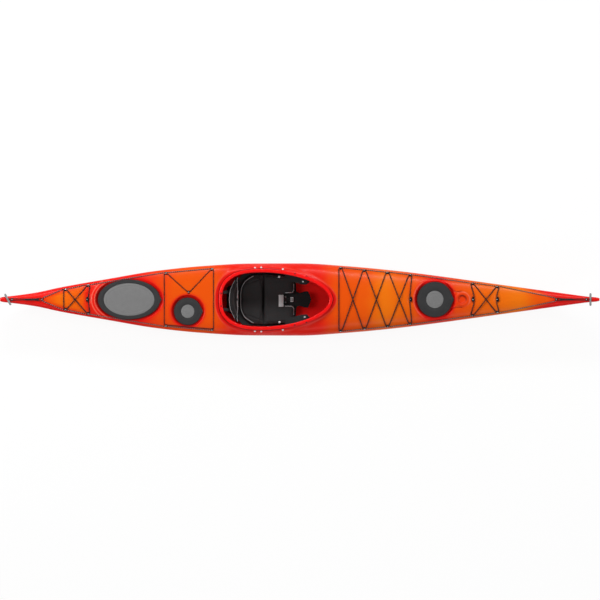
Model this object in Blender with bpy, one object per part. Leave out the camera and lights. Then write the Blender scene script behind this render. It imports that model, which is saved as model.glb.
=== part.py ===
"""A touring sea kayak with a drop skeg.

Metres, +Z up. The bow points to +X and port is +Y. The origin is under midships, level with the keel.
The moulding is made as its two halves, hull and deck, which meet at the sheer line, and the deck in
four lengths. What rides on the deck or stands in the hull is seated by casting rays at the two halves.
"""

import math

import bmesh
import bpy
from mathutils import Matrix, Vector
from mathutils.bvhtree import BVHTree
from mathutils.geometry import delaunay_2d_cdt

# ---------------------------------------------------------------- driving dimensions
LENGTH = 4.72
BEAM = 0.571
DRAWN_LENGTH = 4.72
DRAWN_BEAM = 0.571
WALL = 0.005
FIT_GAP = 0.0003
SEAT_GAP = 0.0004
GIRTH_STEPS = 7
STATION_SPACING = 0.140
STATION_SHARES_NEAR_END = (0.484, 0.492, 0.4965, 0.5)
DECK_SHARES = (0.0, 0.42, 0.72, 0.89, 0.98)
HOLLOW_END = 0.481 * LENGTH
KEEL_PAD = 0.045


def along(x):
    """A place along the boat, given on its drawn length."""
    return x * LENGTH / DRAWN_LENGTH


def across(y):
    """A place across the boat, given on its drawn beam."""
    return y * BEAM / DRAWN_BEAM


DECK_JOINTS = (along(-1.035), along(-0.72), along(0.40))

# x as a share of LENGTH, half-breadth as a share of BEAM / 2, then the heights of keel, sheer and deck
# ridge in metres, the squareness of the bilge and the squareness of the deck's camber.
OFFSETS = [
    (-0.5000, 0.045, 0.262, 0.318, 0.334, 1.5, 2.0),
    (-0.4960, 0.068, 0.205, 0.316, 0.334, 1.5, 2.0),
    (-0.4800, 0.098, 0.118, 0.308, 0.330, 1.4, 2.0),
    (-0.4400, 0.190, 0.052, 0.287, 0.319, 1.4, 2.0),
    (-0.4000, 0.332, 0.030, 0.265, 0.305, 1.5, 2.0),
    (-0.3200, 0.567, 0.010, 0.238, 0.285, 1.8, 2.2),
    (-0.2400, 0.788, 0.001, 0.218, 0.268, 2.2, 2.8),
    (-0.1600, 0.925, 0.000, 0.205, 0.262, 2.5, 4.0),
    (-0.0800, 0.992, 0.000, 0.200, 0.271, 2.7, 6.0),
    (0.0000, 0.996, 0.000, 0.204, 0.292, 2.7, 5.0),
    (0.0800, 0.918, 0.000, 0.215, 0.322, 2.6, 2.8),
    (0.1600, 0.794, 0.000, 0.231, 0.331, 2.3, 2.2),
    (0.2400, 0.628, 0.004, 0.251, 0.331, 2.0, 2.0),
    (0.3200, 0.444, 0.020, 0.276, 0.336, 1.7, 1.9),
    (0.4000, 0.260, 0.060, 0.309, 0.351, 1.5, 1.9),
    (0.4600, 0.124, 0.135, 0.341, 0.369, 1.4, 1.9),
    (0.4800, 0.080, 0.185, 0.352, 0.376, 1.4, 1.9),
    (0.4960, 0.056, 0.262, 0.361, 0.380, 1.5, 1.9),
    (0.5000, 0.035, 0.300, 0.362, 0.379, 1.5, 1.9),
]

# Cockpit: an egg, squarer behind its widest place and leaner in front of it.
COCKPIT_WIDEST_X = -0.063 * LENGTH
COCKPIT_SHIFT = COCKPIT_WIDEST_X + 0.063 * DRAWN_LENGTH
COCKPIT_AFT = 0.313
COCKPIT_FORE = 0.530
COCKPIT_HALF_WIDTH = 0.2135
COCKPIT_AFT_POWER = 2.6
COCKPIT_FORE_POWER = 1.9
COAMING_WALL = 0.006
COAMING_LIP = 0.027
COAMING_HEIGHT = 0.022
COAMING_LIP_THICKNESS = 0.007
COAMING_SEAT = [(-0.70, 0.262), (-0.60, 0.264), (-0.20, 0.280), (0.233, 0.319), (0.33, 0.325)]
COAMING_SEAT = [(x + COCKPIT_SHIFT, z) for x, z in COAMING_SEAT]
COAMING_SEGMENTS = 40
COAMING_BLEND_END = COAMING_LIP + 0.038
COAMING_EDGE_SHARE = 0.16

# Hatches: centre, half-length and half-width of the cover, height of the seat that the cover stands on.
HATCH_RISER_WALL = 0.006
HATCH_RISER_HEIGHT = 0.016
HATCH_SEAT_MARGIN = 0.009
HATCH_RECESS_MARGIN = 0.026
COVER_SKIRT = 0.0045
COVER_CLEARANCE = 0.0015
COVER_TOP = 0.0045
COVER_TAB = 0.011
STERN_HATCH = {"at": (-0.2846 * LENGTH, 0.0), "half": (0.245, 0.156), "rim": 0.040, "seat_z": 0.255, "segments": 28}
DAY_HATCH = {"at": (-0.1868 * LENGTH, -0.093), "half": (0.1075, 0.1075), "rim": 0.055, "seat_z": 0.243, "segments": 20}
BOW_HATCH = {"at": (0.2252 * LENGTH, 0.0), "half": (0.138, 0.138), "rim": 0.070, "seat_z": 0.302, "segments": 24}
HATCHES = {"stern_hatch_cover": STERN_HATCH, "day_hatch_cover": DAY_HATCH, "bow_hatch_cover": BOW_HATCH}

# Cup for a deck compass, ahead of the bow hatch.
COMPASS_X = 0.2708 * LENGTH
COMPASS_PLATEAU_RADIUS = 0.048
COMPASS_PLATEAU_Z = 0.3340
COMPASS_BLEND = 0.012
COMPASS_CUP_RADIUS = 0.037
COMPASS_FLOOR_RADIUS = 0.022
COMPASS_DEPTH = 0.013
COMPASS_SEGMENTS = 16

# Bulkheads: foam walls that part the hull into sealed compartments.
BULKHEAD_THICKNESS = 0.014
BULKHEAD_CLEARANCE = 0.0009
BULKHEADS = {"bulkhead_aft": -0.2190 * LENGTH, "bulkhead_mid": -0.1500 * LENGTH, "bulkhead_fore": 0.1740 * LENGTH}

# Deck fittings: a saddle with a screw post between two tunnels. Those on the sides come in pairs.
CORD = 0.006
CORD_LIFT = 0.0006
CORD_BEND = 0.006
CORD_SIDES = 5
CORD_STEP = 0.009
CORD_SLACK = 0.0012
POST = 0.005
TUNNEL = CORD + 2 * CORD_LIFT
TUNNEL_CHAMFER = 0.0015
SADDLE_SIDE = 0.0022
SADDLE_HEIGHT = TUNNEL + 0.0028
SADDLE_LENGTH = 0.014
CLEAT_NOSE = 0.0135
CLEAT_HALF_LENGTH = 0.024
TUNNEL_OFFSET = (POST + TUNNEL) / 2
PAIRS = {
    "stern_2": (-1.844, 0.076),
    "stern_3": (-1.665, 0.109),
    "stern_4": (-1.053, 0.205),
    "stern_5": (-0.691, 0.236),
    "bow_1": (0.321, 0.244),
    "bow_2": (0.509, 0.226),
    "bow_3": (0.691, 0.208),
    "bow_4": (0.869, 0.189),
    "bow_5": (1.359, 0.123),
    "bow_6": (1.555, 0.098),
}
PAIRS = {key: (along(x), across(y)) for key, (x, y) in PAIRS.items()}
CENTRE_GUIDES = {"guide_stern_1": (along(-2.028), 0.0), "guide_bow_7": (along(2.020), 0.0)}
CLEATS = {"cleat_stern": (-1.669, -1), "cleat_bow_4": (0.873, 1), "cleat_bow_5": (1.366, -1), "cleat_bow_6": (1.557, 1)}
CLEATS = {name: (along(x), nose) for name, (x, nose) in CLEATS.items()}
DAY_GUIDE = (along(-0.875), 0.058)
END_GUIDE_X = {"stern": -LENGTH / 2 + 0.094, "bow": LENGTH / 2 - 0.104}

# Carry toggles: a bar with a slot round its middle, where the cord turns about a post.
TOGGLE_LENGTH = 0.100
TOGGLE_HALF_WIDTH = 0.0085
TOGGLE_HALF_HEIGHT = 0.0066
TOGGLE_POST = 0.0040
TOGGLE_SLOT_RADIUS = 0.0180
TOGGLE_CORD = 0.005
TOGGLE_SLOT = TOGGLE_CORD + 0.0026
TOGGLE_X = {"stern": -LENGTH / 2 + 0.062, "bow": LENGTH / 2 - 0.072}
TOGGLE_SWING = {"stern": 28.0, "bow": 0.0}

# Seat: a pan on two runners, with a cushion, a hinged leg support and a back band standing on it.
PAN_WALL = 0.004
PAN_CENTRE_Z = 0.040
PAN_OUTLINE = [(-0.575, 0.095), (-0.51, 0.130), (-0.44, 0.200), (-0.26, 0.210), (-0.10, 0.200), (-0.036, 0.186)]
PAN_NOSE = [(-0.026, 0.060), (0.0, 0.047), (0.045, 0.062), (0.085, 0.050)]
PAN_OUTLINE = [(x + COCKPIT_SHIFT, y) for x, y in PAN_OUTLINE]
PAN_NOSE = [(x + COCKPIT_SHIFT, y) for x, y in PAN_NOSE]
RUNNER_X = (COCKPIT_SHIFT - 0.45, COCKPIT_SHIFT - 0.08)
RUNNER_Y = 0.095
RUNNER_WIDTH = 0.018
CUSHION_X = (COCKPIT_SHIFT - 0.474, COCKPIT_SHIFT - 0.289)
CUSHION_REAR_SWEEP = 0.085
CUSHION_THICKNESS = 0.030
CUSHION_LIFT = 0.0034
LEG_SUPPORT_X = (COCKPIT_SHIFT - 0.283, COCKPIT_SHIFT - 0.042)
LEG_SUPPORT_THICKNESS = 0.032
LEG_NOTCH_X = COCKPIT_SHIFT - 0.128
LEG_NOTCH_SHARE = 0.26
LEG_HINGE_RISE = 0.020
BACKREST_X = COCKPIT_SHIFT - 0.515
BACKREST_LEAN = 0.036
BACKREST_HALF_WIDTH = 0.180
BACKREST_SWEEP = 0.048
BACKREST_THICKNESS = 0.030
BACKREST_HEIGHT = 0.165
BACKREST_ARCH = 0.058
BACKREST_FOOT = (0.010, 0.110)

BRACE_X = (COCKPIT_SHIFT - 0.116, COCKPIT_SHIFT + 0.077)
BRACE_THICKNESS = 0.008
BRACE_REACH = 0.050
BRACE_DROP = 0.026

RAIL_X = (COCKPIT_SHIFT + 0.400, COCKPIT_SHIFT + 0.780)
RAIL_Z = 0.112
RAIL_SIZE = (0.010, 0.022)
PEG_START = 0.200
PEG_SLIDER = (0.060, 0.022)
PEG_REACH = 0.085
PEG_PEDAL = 0.010
PEG_HEIGHT = 0.086

SKEG_PIVOT_X = -0.3480 * LENGTH
SKEG_LENGTH = 0.285
SKEG_DEPTH = 0.105
SKEG_SLOT = 0.0080
SKEG_SIDE_GAP = 0.0003
SKEG_BOX_WALL = 0.003
SKEG_END_ROOM = 0.014

COLOURS = {
    "moulding": ((0.85, 0.12, 0.02), 0.35, 0.0),
    "foam": ((0.05, 0.05, 0.055), 0.9, 0.0),
    "cover_rubber": ((0.06, 0.06, 0.062), 0.6, 0.0),
    "seat_fabric": ((0.018, 0.018, 0.019), 0.85, 0.0),
    "black_plastic": ((0.015, 0.015, 0.016), 0.45, 0.0),
    "grey_plastic": ((0.42, 0.43, 0.44), 0.45, 0.0),
    "bungee": ((0.02, 0.02, 0.022), 0.8, 0.0),
    "deck_line": ((0.05, 0.05, 0.055), 0.75, 0.0),
    "aluminium": ((0.6, 0.61, 0.62), 0.35, 1.0),
}


# ---------------------------------------------------------------- scene helpers
def clear_scene():
    for obj in list(bpy.data.objects):
        bpy.data.objects.remove(obj)


def material(name, finish):
    colour, roughness, metallic = COLOURS[finish]
    made = bpy.data.materials.new(name)
    made.use_nodes = True
    shader = made.node_tree.nodes["Principled BSDF"]
    shader.inputs["Base Color"].default_value = (*colour, 1)
    shader.inputs["Roughness"].default_value = roughness
    shader.inputs["Metallic"].default_value = metallic
    return made


def add_object(name, data, finish, origin=(0, 0, 0)):
    """Puts a mesh or a curve that was drawn in world coordinates into the scene, with its origin moved."""
    obj = bpy.data.objects.new(name, data)
    bpy.context.scene.collection.objects.link(obj)
    data.materials.append(material(name, finish))
    if any(origin):
        data.transform(Matrix.Translation(-Vector(origin)))
        obj.location = origin
    return obj


def add_mesh(name, bm, finish, origin=(0, 0, 0), sharp_degrees=35):
    bmesh.ops.recalc_face_normals(bm, faces=bm.faces[:])
    mesh = bpy.data.meshes.new(name)
    bm.to_mesh(mesh)
    bm.free()
    mesh.shade_smooth()
    mesh.set_sharp_from_angle(angle=math.radians(sharp_degrees))
    return add_object(name, mesh, finish, origin)


def smoothstep(t):
    t = min(1.0, max(0.0, t))
    return t * t * (3 - 2 * t)


# ---------------------------------------------------------------- hull form
def monotone_curve(points):
    """A smooth function through (x, y) points that never swings past them."""
    xs = [p[0] for p in points]
    ys = [p[1] for p in points]
    slopes = [(ys[i + 1] - ys[i]) / (xs[i + 1] - xs[i]) for i in range(len(xs) - 1)]
    tangents = [slopes[0]]
    for before, after in zip(slopes, slopes[1:]):
        tangents.append(0.0 if before * after <= 0 else 2 * before * after / (before + after))
    tangents.append(slopes[-1])

    def value(x):
        x = min(xs[-1], max(xs[0], x))
        i = next(k for k in range(len(xs) - 1) if x <= xs[k + 1])
        step = xs[i + 1] - xs[i]
        t = (x - xs[i]) / step
        return (
            (2 * t**3 - 3 * t**2 + 1) * ys[i]
            + (t**3 - 2 * t**2 + t) * step * tangents[i]
            + (3 * t**2 - 2 * t**3) * ys[i + 1]
            + (t**3 - t**2) * step * tangents[i + 1]
        )

    return value


def offset_curve(column, scale=1.0):
    return monotone_curve([(row[0] * LENGTH, row[column] * scale) for row in OFFSETS])


half_beam = offset_curve(1, BEAM / 2)
keel_z = offset_curve(2)
sheer_z = offset_curve(3)
ridge_z = offset_curve(4)
bilge_power = offset_curve(5)
camber_power = offset_curve(6)


def stations():
    """Even stations along the hollow of the boat, with closer ones in its solid ends."""
    count = round(2 * HOLLOW_END / STATION_SPACING)
    middle = [HOLLOW_END * (2 * i / count - 1) for i in range(count + 1)]
    ends = [share * LENGTH for share in STATION_SHARES_NEAR_END]
    return [-x for x in reversed(ends)] + middle + ends


STATION_X = stations()


def hull_section(x, inset=0.0):
    """Half a section, from the keel to the sheer, as (y, z) points; inset gives the inner skin."""
    b, k, power = half_beam(x) - inset, keel_z(x) + inset, bilge_power(x)
    s = sheer_z(x) - FIT_GAP / 2
    pad = min(KEEL_PAD, 0.28 * b)
    points = [(0.0, k)]
    for i in range(GIRTH_STEPS):
        t = math.pi / 2 * i / (GIRTH_STEPS - 1)
        y = pad + (b - pad) * math.sin(t) ** (2 / power)
        z = s - (s - k) * max(0.0, math.cos(t)) ** (2 / power)
        points.append((y, z))
    return points


def cockpit_outline(angle):
    """The point of the cockpit's opening at this angle round its widest place."""
    c, s = math.cos(angle), math.sin(angle)
    power = COCKPIT_FORE_POWER if c > 0 else COCKPIT_AFT_POWER
    reach = COCKPIT_FORE if c > 0 else COCKPIT_AFT
    x = reach * abs(c) ** (2 / power) * (1 if c > 0 else -1)
    y = COCKPIT_HALF_WIDTH * abs(s) ** (2 / power) * (1 if s > 0 else -1)
    return Vector((COCKPIT_WIDEST_X + x, y))


def cockpit_distance(x, y):
    """How far outside the cockpit's opening a point lies, along its ray; negative inside."""
    dx = x - COCKPIT_WIDEST_X
    power = COCKPIT_FORE_POWER if dx > 0 else COCKPIT_AFT_POWER
    reach = COCKPIT_FORE if dx > 0 else COCKPIT_AFT
    share = (abs(dx / reach) ** power + abs(y / COCKPIT_HALF_WIDTH) ** power) ** (1 / power)
    return math.hypot(dx, y) * (1 - 1 / max(share, 1e-6))


def hatch_outline(hatch, angle, out=0.0):
    (cx, cy), (ax, ay) = hatch["at"], hatch["half"]
    return Vector((cx + (ax + out) * math.cos(angle), cy + (ay + out) * math.sin(angle)))


def hatch_distance(hatch, x, y):
    (cx, cy), (ax, ay) = hatch["at"], hatch["half"]
    dx, dy = x - cx, y - cy
    share = math.hypot(dx / ax, dy / ay)
    return math.hypot(dx, dy) * (1 - 1 / max(share, 1e-6))


coaming_seat_z = monotone_curve(COAMING_SEAT)


def deck_z(x, y):
    """Height of the deck's outer surface: its camber, then what is moulded into it."""
    share = min(1.0, abs(y) / half_beam(x))
    z = sheer_z(x) + (ridge_z(x) - sheer_z(x)) * math.sqrt(max(0.0, 1 - share ** camber_power(x)))
    gap = cockpit_distance(x, y)
    if gap < COAMING_BLEND_END:
        weight = 1 - smoothstep((gap - COAMING_LIP) / (COAMING_BLEND_END - COAMING_LIP))
        z += (coaming_seat_z(x) - z) * weight * smoothstep((1 - share) / COAMING_EDGE_SHARE)
    for hatch in HATCHES.values():
        gap = hatch_distance(hatch, x, y)
        if gap < HATCH_RECESS_MARGIN:
            weight = 1 - smoothstep((gap - HATCH_SEAT_MARGIN) / (HATCH_RECESS_MARGIN - HATCH_SEAT_MARGIN))
            z += (hatch["seat_z"] - z) * weight
    radius = math.hypot(x - COMPASS_X, y)
    if radius < COMPASS_PLATEAU_RADIUS + COMPASS_BLEND:
        weight = 1 - smoothstep((radius - COMPASS_PLATEAU_RADIUS) / COMPASS_BLEND)
        z += (COMPASS_PLATEAU_Z - z) * weight
        z -= COMPASS_DEPTH * (
            1 - smoothstep((radius - COMPASS_FLOOR_RADIUS) / (COMPASS_CUP_RADIUS - COMPASS_FLOOR_RADIUS))
        )
    return z



# ---------------------------------------------------------------- hull
def build_hull():
    bm = bmesh.new()
    outer, inner = [], []
    for x in STATION_X:
        half = hull_section(x)
        outer.append([bm.verts.new((x, y, z)) for y, z in mirrored(half)])
        inner.append(None)
        if abs(x) <= HOLLOW_END + 1e-6:
            inner[-1] = [bm.verts.new((x, y, z)) for y, z in mirrored(hull_section(x, WALL))]
    loft(bm, outer)
    loft(bm, [row for row in inner if row])
    close_end_to_end(bm, outer, inner)
    for row in (outer[0], outer[-1]):
        bm.faces.new(row)
    for row in [row for row in inner if row][:: len([row for row in inner if row]) - 1]:
        bm.faces.new(row)
    hull = add_mesh("hull", bm, "moulding")
    slot = add_box("skeg_slot_cutter", (skeg_middle_x(), 0, 0.03), (skeg_room(), SKEG_SLOT, 0.12))
    subtract(hull, slot)
    return hull


def mirrored(half):
    """A half section from the centreline out, made whole from port to starboard."""
    return [(y, z) for y, z in reversed(half)] + [(-y, z) for y, z in half[1:]]


def loft(bm, rows):
    for a, b in zip(rows, rows[1:]):
        for i in range(len(a) - 1):
            bm.faces.new((a[i], a[i + 1], b[i + 1], b[i]))


def close_end_to_end(bm, outer, inner):
    """The flat faces at the sheer: a rim where the boat is hollow, all the way across where it is not."""
    for (oa, ia), (ob, ib) in zip(zip(outer, inner), zip(outer[1:], inner[1:])):
        if ia and ib:
            bm.faces.new((oa[0], ob[0], ib[0], ia[0]))
            bm.faces.new((oa[-1], ia[-1], ib[-1], ob[-1]))
        else:
            near = [oa[0]] + ([ia[0], ia[-1]] if ia else []) + [oa[-1]]
            far = [ob[0]] + ([ib[0], ib[-1]] if ib else []) + [ob[-1]]
            bm.faces.new(near + far[::-1])


# ---------------------------------------------------------------- deck
def offset_ring(points, out):
    """A closed plan loop (counter-clockwise) pushed outward along its normals."""
    moved = []
    for i, p in enumerate(points):
        along = (points[(i + 1) % len(points)] - points[i - 1]).normalized()
        moved.append(p + out * Vector((along.y, -along.x)))
    return moved


def cockpit_ring(out=0.0):
    base = [cockpit_outline(2 * math.pi * i / COAMING_SEGMENTS) for i in range(COAMING_SEGMENTS)]
    return offset_ring(base, out)


def hatch_ring(hatch, out=0.0):
    count = hatch["segments"]
    return [hatch_outline(hatch, 2 * math.pi * i / count, out) for i in range(count)]


def circle(x, y, radius, count):
    angles = [2 * math.pi * i / count for i in range(count)]
    return [Vector((x + radius * math.cos(a), y + radius * math.sin(a))) for a in angles]


def in_feature(x, y, margin=0.010):
    if cockpit_distance(x, y) < COAMING_BLEND_END + margin:
        return True
    if math.hypot(x - COMPASS_X, y) < COMPASS_PLATEAU_RADIUS + COMPASS_BLEND + margin:
        return True
    return any(hatch_distance(h, x, y) < HATCH_RECESS_MARGIN + margin for h in HATCHES.values())


def riser_outset(hatch_margin=0.0):
    return -(COVER_SKIRT + COVER_CLEARANCE) - hatch_margin


class Plan:
    """Points and edges of the deck seen from above, ready to be triangulated."""

    def __init__(self):
        self.points, self.edges = [], []

    def add(self, point, near=0.0):
        if near:
            for i, p in enumerate(self.points):
                if (p - point).length < near:
                    return i
        self.points.append(Vector(point))
        return len(self.points) - 1

    def loop(self, points, closed=True, near=0.0):
        ids = [self.add(p, near) for p in points]
        pairs = list(zip(ids, ids[1:])) + ([(ids[-1], ids[0])] if closed else [])
        self.edges += [pair for pair in pairs if pair[0] != pair[1]]
        return ids


def deck_plan():
    plan = Plan()
    port = [Vector((x, half_beam(x))) for x in STATION_X]
    starboard = [Vector((x, -half_beam(x))) for x in STATION_X]
    bounds = [port[::-1] + starboard]
    bounds.append(cockpit_ring(COAMING_WALL))
    bounds += [hatch_ring(h, riser_outset()) for h in HATCHES.values()]
    holes = [plan.loop(ring) for ring in bounds]
    for out in (COAMING_LIP, (COAMING_LIP + COAMING_BLEND_END) / 2, COAMING_BLEND_END):
        plan.loop(cockpit_ring(out))
    for hatch in HATCHES.values():
        for out in (HATCH_SEAT_MARGIN, (HATCH_SEAT_MARGIN + HATCH_RECESS_MARGIN) / 2, HATCH_RECESS_MARGIN):
            for p in hatch_ring(hatch, out):
                plan.add(p, 0.006)
    for radius in (COMPASS_FLOOR_RADIUS, COMPASS_CUP_RADIUS, COMPASS_PLATEAU_RADIUS):
        plan.loop(circle(COMPASS_X, 0, radius, COMPASS_SEGMENTS))
    for p in circle(COMPASS_X, 0, COMPASS_PLATEAU_RADIUS + COMPASS_BLEND, COMPASS_SEGMENTS):
        plan.add(p, 0.006)
    last = {}
    for x in STATION_X[1:-1]:
        for share in sorted({s * side for s in DECK_SHARES for side in (-1, 1)}):
            y = share * half_beam(x)
            room = half_beam(x) * (1 - abs(share))
            if in_feature(x, y) or room < 0.0025:
                last[share] = None
                continue
            here = plan.add(Vector((x, y)), 0.0025)
            before = last.get(share)
            last[share] = here
            if before is not None and here != before:
                a, b = plan.points[before], plan.points[here]
                if not any(in_feature(*a.lerp(b, t)) for t in (0.2, 0.4, 0.5, 0.6, 0.8)):
                    plan.edges.append((before, here))
    for x in (-HOLLOW_END, HOLLOW_END):
        i = min(range(len(STATION_X)), key=lambda k: abs(STATION_X[k] - x))
        across = [k for k, p in enumerate(plan.points) if abs(p.x - STATION_X[i]) < 1e-6]
        across.sort(key=lambda k: plan.points[k].y)
        plan.edges += list(zip(across, across[1:]))
    return plan, bounds, holes


def inside(point, polygon):
    hit = False
    for a, b in zip(polygon, polygon[1:] + polygon[:1]):
        if (a.y > point.y) != (b.y > point.y):
            if point.x < (b.x - a.x) * (point.y - a.y) / (b.y - a.y) + a.x:
                hit = not hit
    return hit


def triangulated_deck():
    """The deck's plan cut into triangles, with each boundary loop as a list of vertex numbers."""
    plan, bounds, holes = deck_plan()
    points, _, faces, origins, _, _ = delaunay_2d_cdt(plan.points, plan.edges, [], 0, 1e-6)
    number = {old: new for new, olds in enumerate(origins) for old in olds}
    kept = []
    for face in faces:
        centre = sum((points[i] for i in face), Vector((0, 0))) / len(face)
        if inside(centre, bounds[0]) and not any(inside(centre, ring) for ring in bounds[1:]):
            kept.append(list(face))
    return points, kept, [[number[i] for i in loop] for loop in holes]


def build_deck():
    points, faces, loops = triangulated_deck()
    bm = bmesh.new()
    outline = set(loops[0])
    top = []
    for i, p in enumerate(points):
        z = sheer_z(p.x) + FIT_GAP / 2 if i in outline else deck_z(p.x, p.y)
        top.append(bm.verts.new((p.x, p.y, z)))
    for face in faces:
        bm.faces.new([top[i] for i in face])
    bm.normal_update()
    normals = [v.normal.copy() for v in top]
    hollow = [abs(p.x) <= HOLLOW_END + 1e-6 for p in points]
    inner = [None] * len(points)
    for i, p in enumerate(points):
        if hollow[i]:
            if i in outline:
                side = 1 if p.y > 0 else -1
                at = Vector((p.x, p.y - side * WALL, top[i].co.z))
            else:
                at = top[i].co - normals[i] * WALL
                if abs(abs(p.x) - HOLLOW_END) < 1e-6:
                    at.x = p.x
            inner[i] = bm.verts.new(at)
    for face in faces:
        if all(hollow[i] for i in face):
            bm.faces.new([inner[i] for i in reversed(face)])
    count = len(STATION_X)
    port, starboard = loops[0][:count][::-1], loops[0][count:]
    outer = [[top[a], top[b]] for a, b in zip(port, starboard)]
    under = [[inner[a], inner[b]] if inner[a] else None for a, b in zip(port, starboard)]
    close_end_to_end(bm, outer, under)
    for x in (-HOLLOW_END, HOLLOW_END):
        row = [i for i, p in enumerate(points) if abs(p.x - x) < 1e-6]
        bm.faces.new([inner[i] for i in sorted(row, key=lambda k: points[k].y)])
    for x in (STATION_X[0], STATION_X[-1]):
        row = [i for i, p in enumerate(points) if abs(p.x - x) < 1e-6]
        if len(row) > 2:
            bm.faces.new([top[i] for i in sorted(row, key=lambda k: points[k].y)])
    add_coaming(bm, [top[i] for i in loops[1]], [inner[i] for i in loops[1]])
    for hatch, loop in zip(HATCHES.values(), loops[2:]):
        add_riser(bm, hatch, [top[i] for i in loop], [inner[i] for i in loop])
    return add_mesh("deck", bm, "moulding")


def deck_length(whole, name, aft, fore):
    """The part of the deck between two planes across the boat, closed again where it is cut."""
    bm = bmesh.new()
    bm.from_mesh(whole.data)
    for x, way in ((aft, -1), (fore, 1)):
        if x is None:
            continue
        place = Vector((x - way * FIT_GAP / 2, 0, 0))
        everything = bm.verts[:] + bm.edges[:] + bm.faces[:]
        cut = bmesh.ops.bisect_plane(
            bm, geom=everything, dist=1e-6, plane_co=place, plane_no=(way, 0, 0), clear_outer=True
        )
        rim = [part for part in cut["geom_cut"] if isinstance(part, bmesh.types.BMEdge)]
        bmesh.ops.edgeloop_fill(bm, edges=rim)
    return add_mesh(name, bm, "moulding")


def split_deck(whole):
    """The deck in lengths, so that each stays simple and open round its own hatch or the cockpit."""
    stops = [None, *DECK_JOINTS, None]
    ends = zip(("stern", "day", "cockpit", "bow"), stops, stops[1:])
    lengths = {name: deck_length(whole, f"deck_{name}", aft, fore) for name, aft, fore in ends}
    bpy.data.objects.remove(whole)
    return lengths


def bridge(bm, loops):
    for a, b in zip(loops, loops[1:]):
        for i in range(len(a)):
            j = (i + 1) % len(a)
            bm.faces.new((a[i], a[j], b[j], b[i]))


def add_coaming(bm, outer, inner):
    """The cockpit's riser with its turned-out lip, from the deck's top round to its underside."""
    height, lip, thick = COAMING_HEIGHT, COAMING_LIP, COAMING_LIP_THICKNESS
    profile = [
        (COAMING_WALL, height - thick),
        (lip - 0.002, height - thick - 0.001),
        (lip, height - thick + 0.002),
        (lip - 0.002, height - 0.001),
        (lip * 0.55, height + 0.001),
        (0.002, height - 0.001),
        (0.0, height - 0.005),
    ]
    rings = [outer]
    for out, up in profile:
        rings.append([bm.verts.new((p.x, p.y, coaming_seat_z(p.x) + up)) for p in cockpit_ring(out)])
    for vert, p in zip(inner, cockpit_ring(0.0)):
        vert.co = (p.x, p.y, coaming_seat_z(p.x) - WALL)
    bridge(bm, rings + [inner])


def add_riser(bm, hatch, outer, inner):
    top = hatch["seat_z"] + HATCH_RISER_HEIGHT
    rings = [outer]
    for out in (riser_outset(), riser_outset(HATCH_RISER_WALL)):
        rings.append([bm.verts.new((p.x, p.y, top)) for p in hatch_ring(hatch, out)])
    for vert, p in zip(inner, hatch_ring(hatch, riser_outset(HATCH_RISER_WALL))):
        vert.co = (p.x, p.y, hatch["seat_z"] - WALL)
    bridge(bm, rings + [inner])


# ---------------------------------------------------------------- cutting, joining and simple solids
def box_bmesh(centre, size):
    bm = bmesh.new()
    bmesh.ops.create_cube(bm, size=1.0, matrix=Matrix.Translation(centre) @ Matrix.Diagonal((*size, 1)))
    return bm


def add_box(name, centre, size):
    """A plain box used only to cut another piece."""
    bm = box_bmesh(centre, size)
    mesh = bpy.data.meshes.new(name)
    bm.to_mesh(mesh)
    bm.free()
    return guide(name, mesh)


def guide(name, mesh):
    obj = bpy.data.objects.new(name, mesh)
    bpy.context.scene.collection.objects.link(obj)
    obj.hide_render = True
    obj.display_type = "WIRE"
    return obj


def combine(obj, other, operation):
    modifier = obj.modifiers.new(other.name, "BOOLEAN")
    modifier.operation = operation
    modifier.solver = "EXACT"
    modifier.object = other
    return obj


def subtract(obj, cutter):
    return combine(obj, cutter, "DIFFERENCE")


class Shell:
    """Rays cast at a finished piece, to find where another one may rest on it."""

    def __init__(self, *objects):
        verts, polygons = [], []
        for obj in objects:
            base = len(verts)
            verts += [obj.matrix_world @ v.co for v in obj.data.vertices]
            polygons += [[base + i for i in p.vertices] for p in obj.data.polygons]
        self.tree = BVHTree.FromPolygons(verts, polygons)

    def hit(self, start, direction):
        point = self.tree.ray_cast(Vector(start), Vector(direction))[0]
        return point

    def top(self, x, y):
        return self.hit((x, y, 1.0), (0, 0, -1)).z

    def floor(self, x, y):
        return self.hit((x, y, sheer_z(x) - 0.012), (0, 0, -1)).z

    def side(self, x, z, sign=1):
        return self.hit((x, 0, z), (0, sign, 0)).y

    def under_deck(self, x, y):
        return self.hit((x, y, sheer_z(x) + 0.004), (0, 0, 1)).z


def skeg_room():
    return SKEG_LENGTH + 2 * SKEG_END_ROOM


def skeg_middle_x():
    return SKEG_PIVOT_X - SKEG_LENGTH / 2


def solid_from_rings(bm, rings, closed=False):
    """Bridges rings of equal count into a tube and caps its two ends unless it closes on itself."""
    rings = [[v if hasattr(v, "co") else bm.verts.new(v) for v in ring] for ring in rings]
    bridge(bm, rings + ([rings[0]] if closed else []))
    if not closed:
        bm.faces.new(rings[0])
        bm.faces.new(rings[-1])


def extrude_polygon(bm, base, offset):
    """A prism: the polygon's points, and the same points moved by the offset."""
    solid_from_rings(bm, [[Vector(p) for p in base], [Vector(p) + Vector(offset) for p in base]])


def plate(name, columns, thickness, finish, origin=(0, 0, 0)):
    """A sheet solid: columns of top points, with the underside directly below them."""
    bm = bmesh.new()
    top = [[bm.verts.new(p) for p in column] for column in columns]
    low = [[bm.verts.new(Vector(p) - Vector((0, 0, thickness))) for p in column] for column in columns]
    close_sheet(bm, top, low)
    return add_mesh(name, bm, finish, origin)


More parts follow.
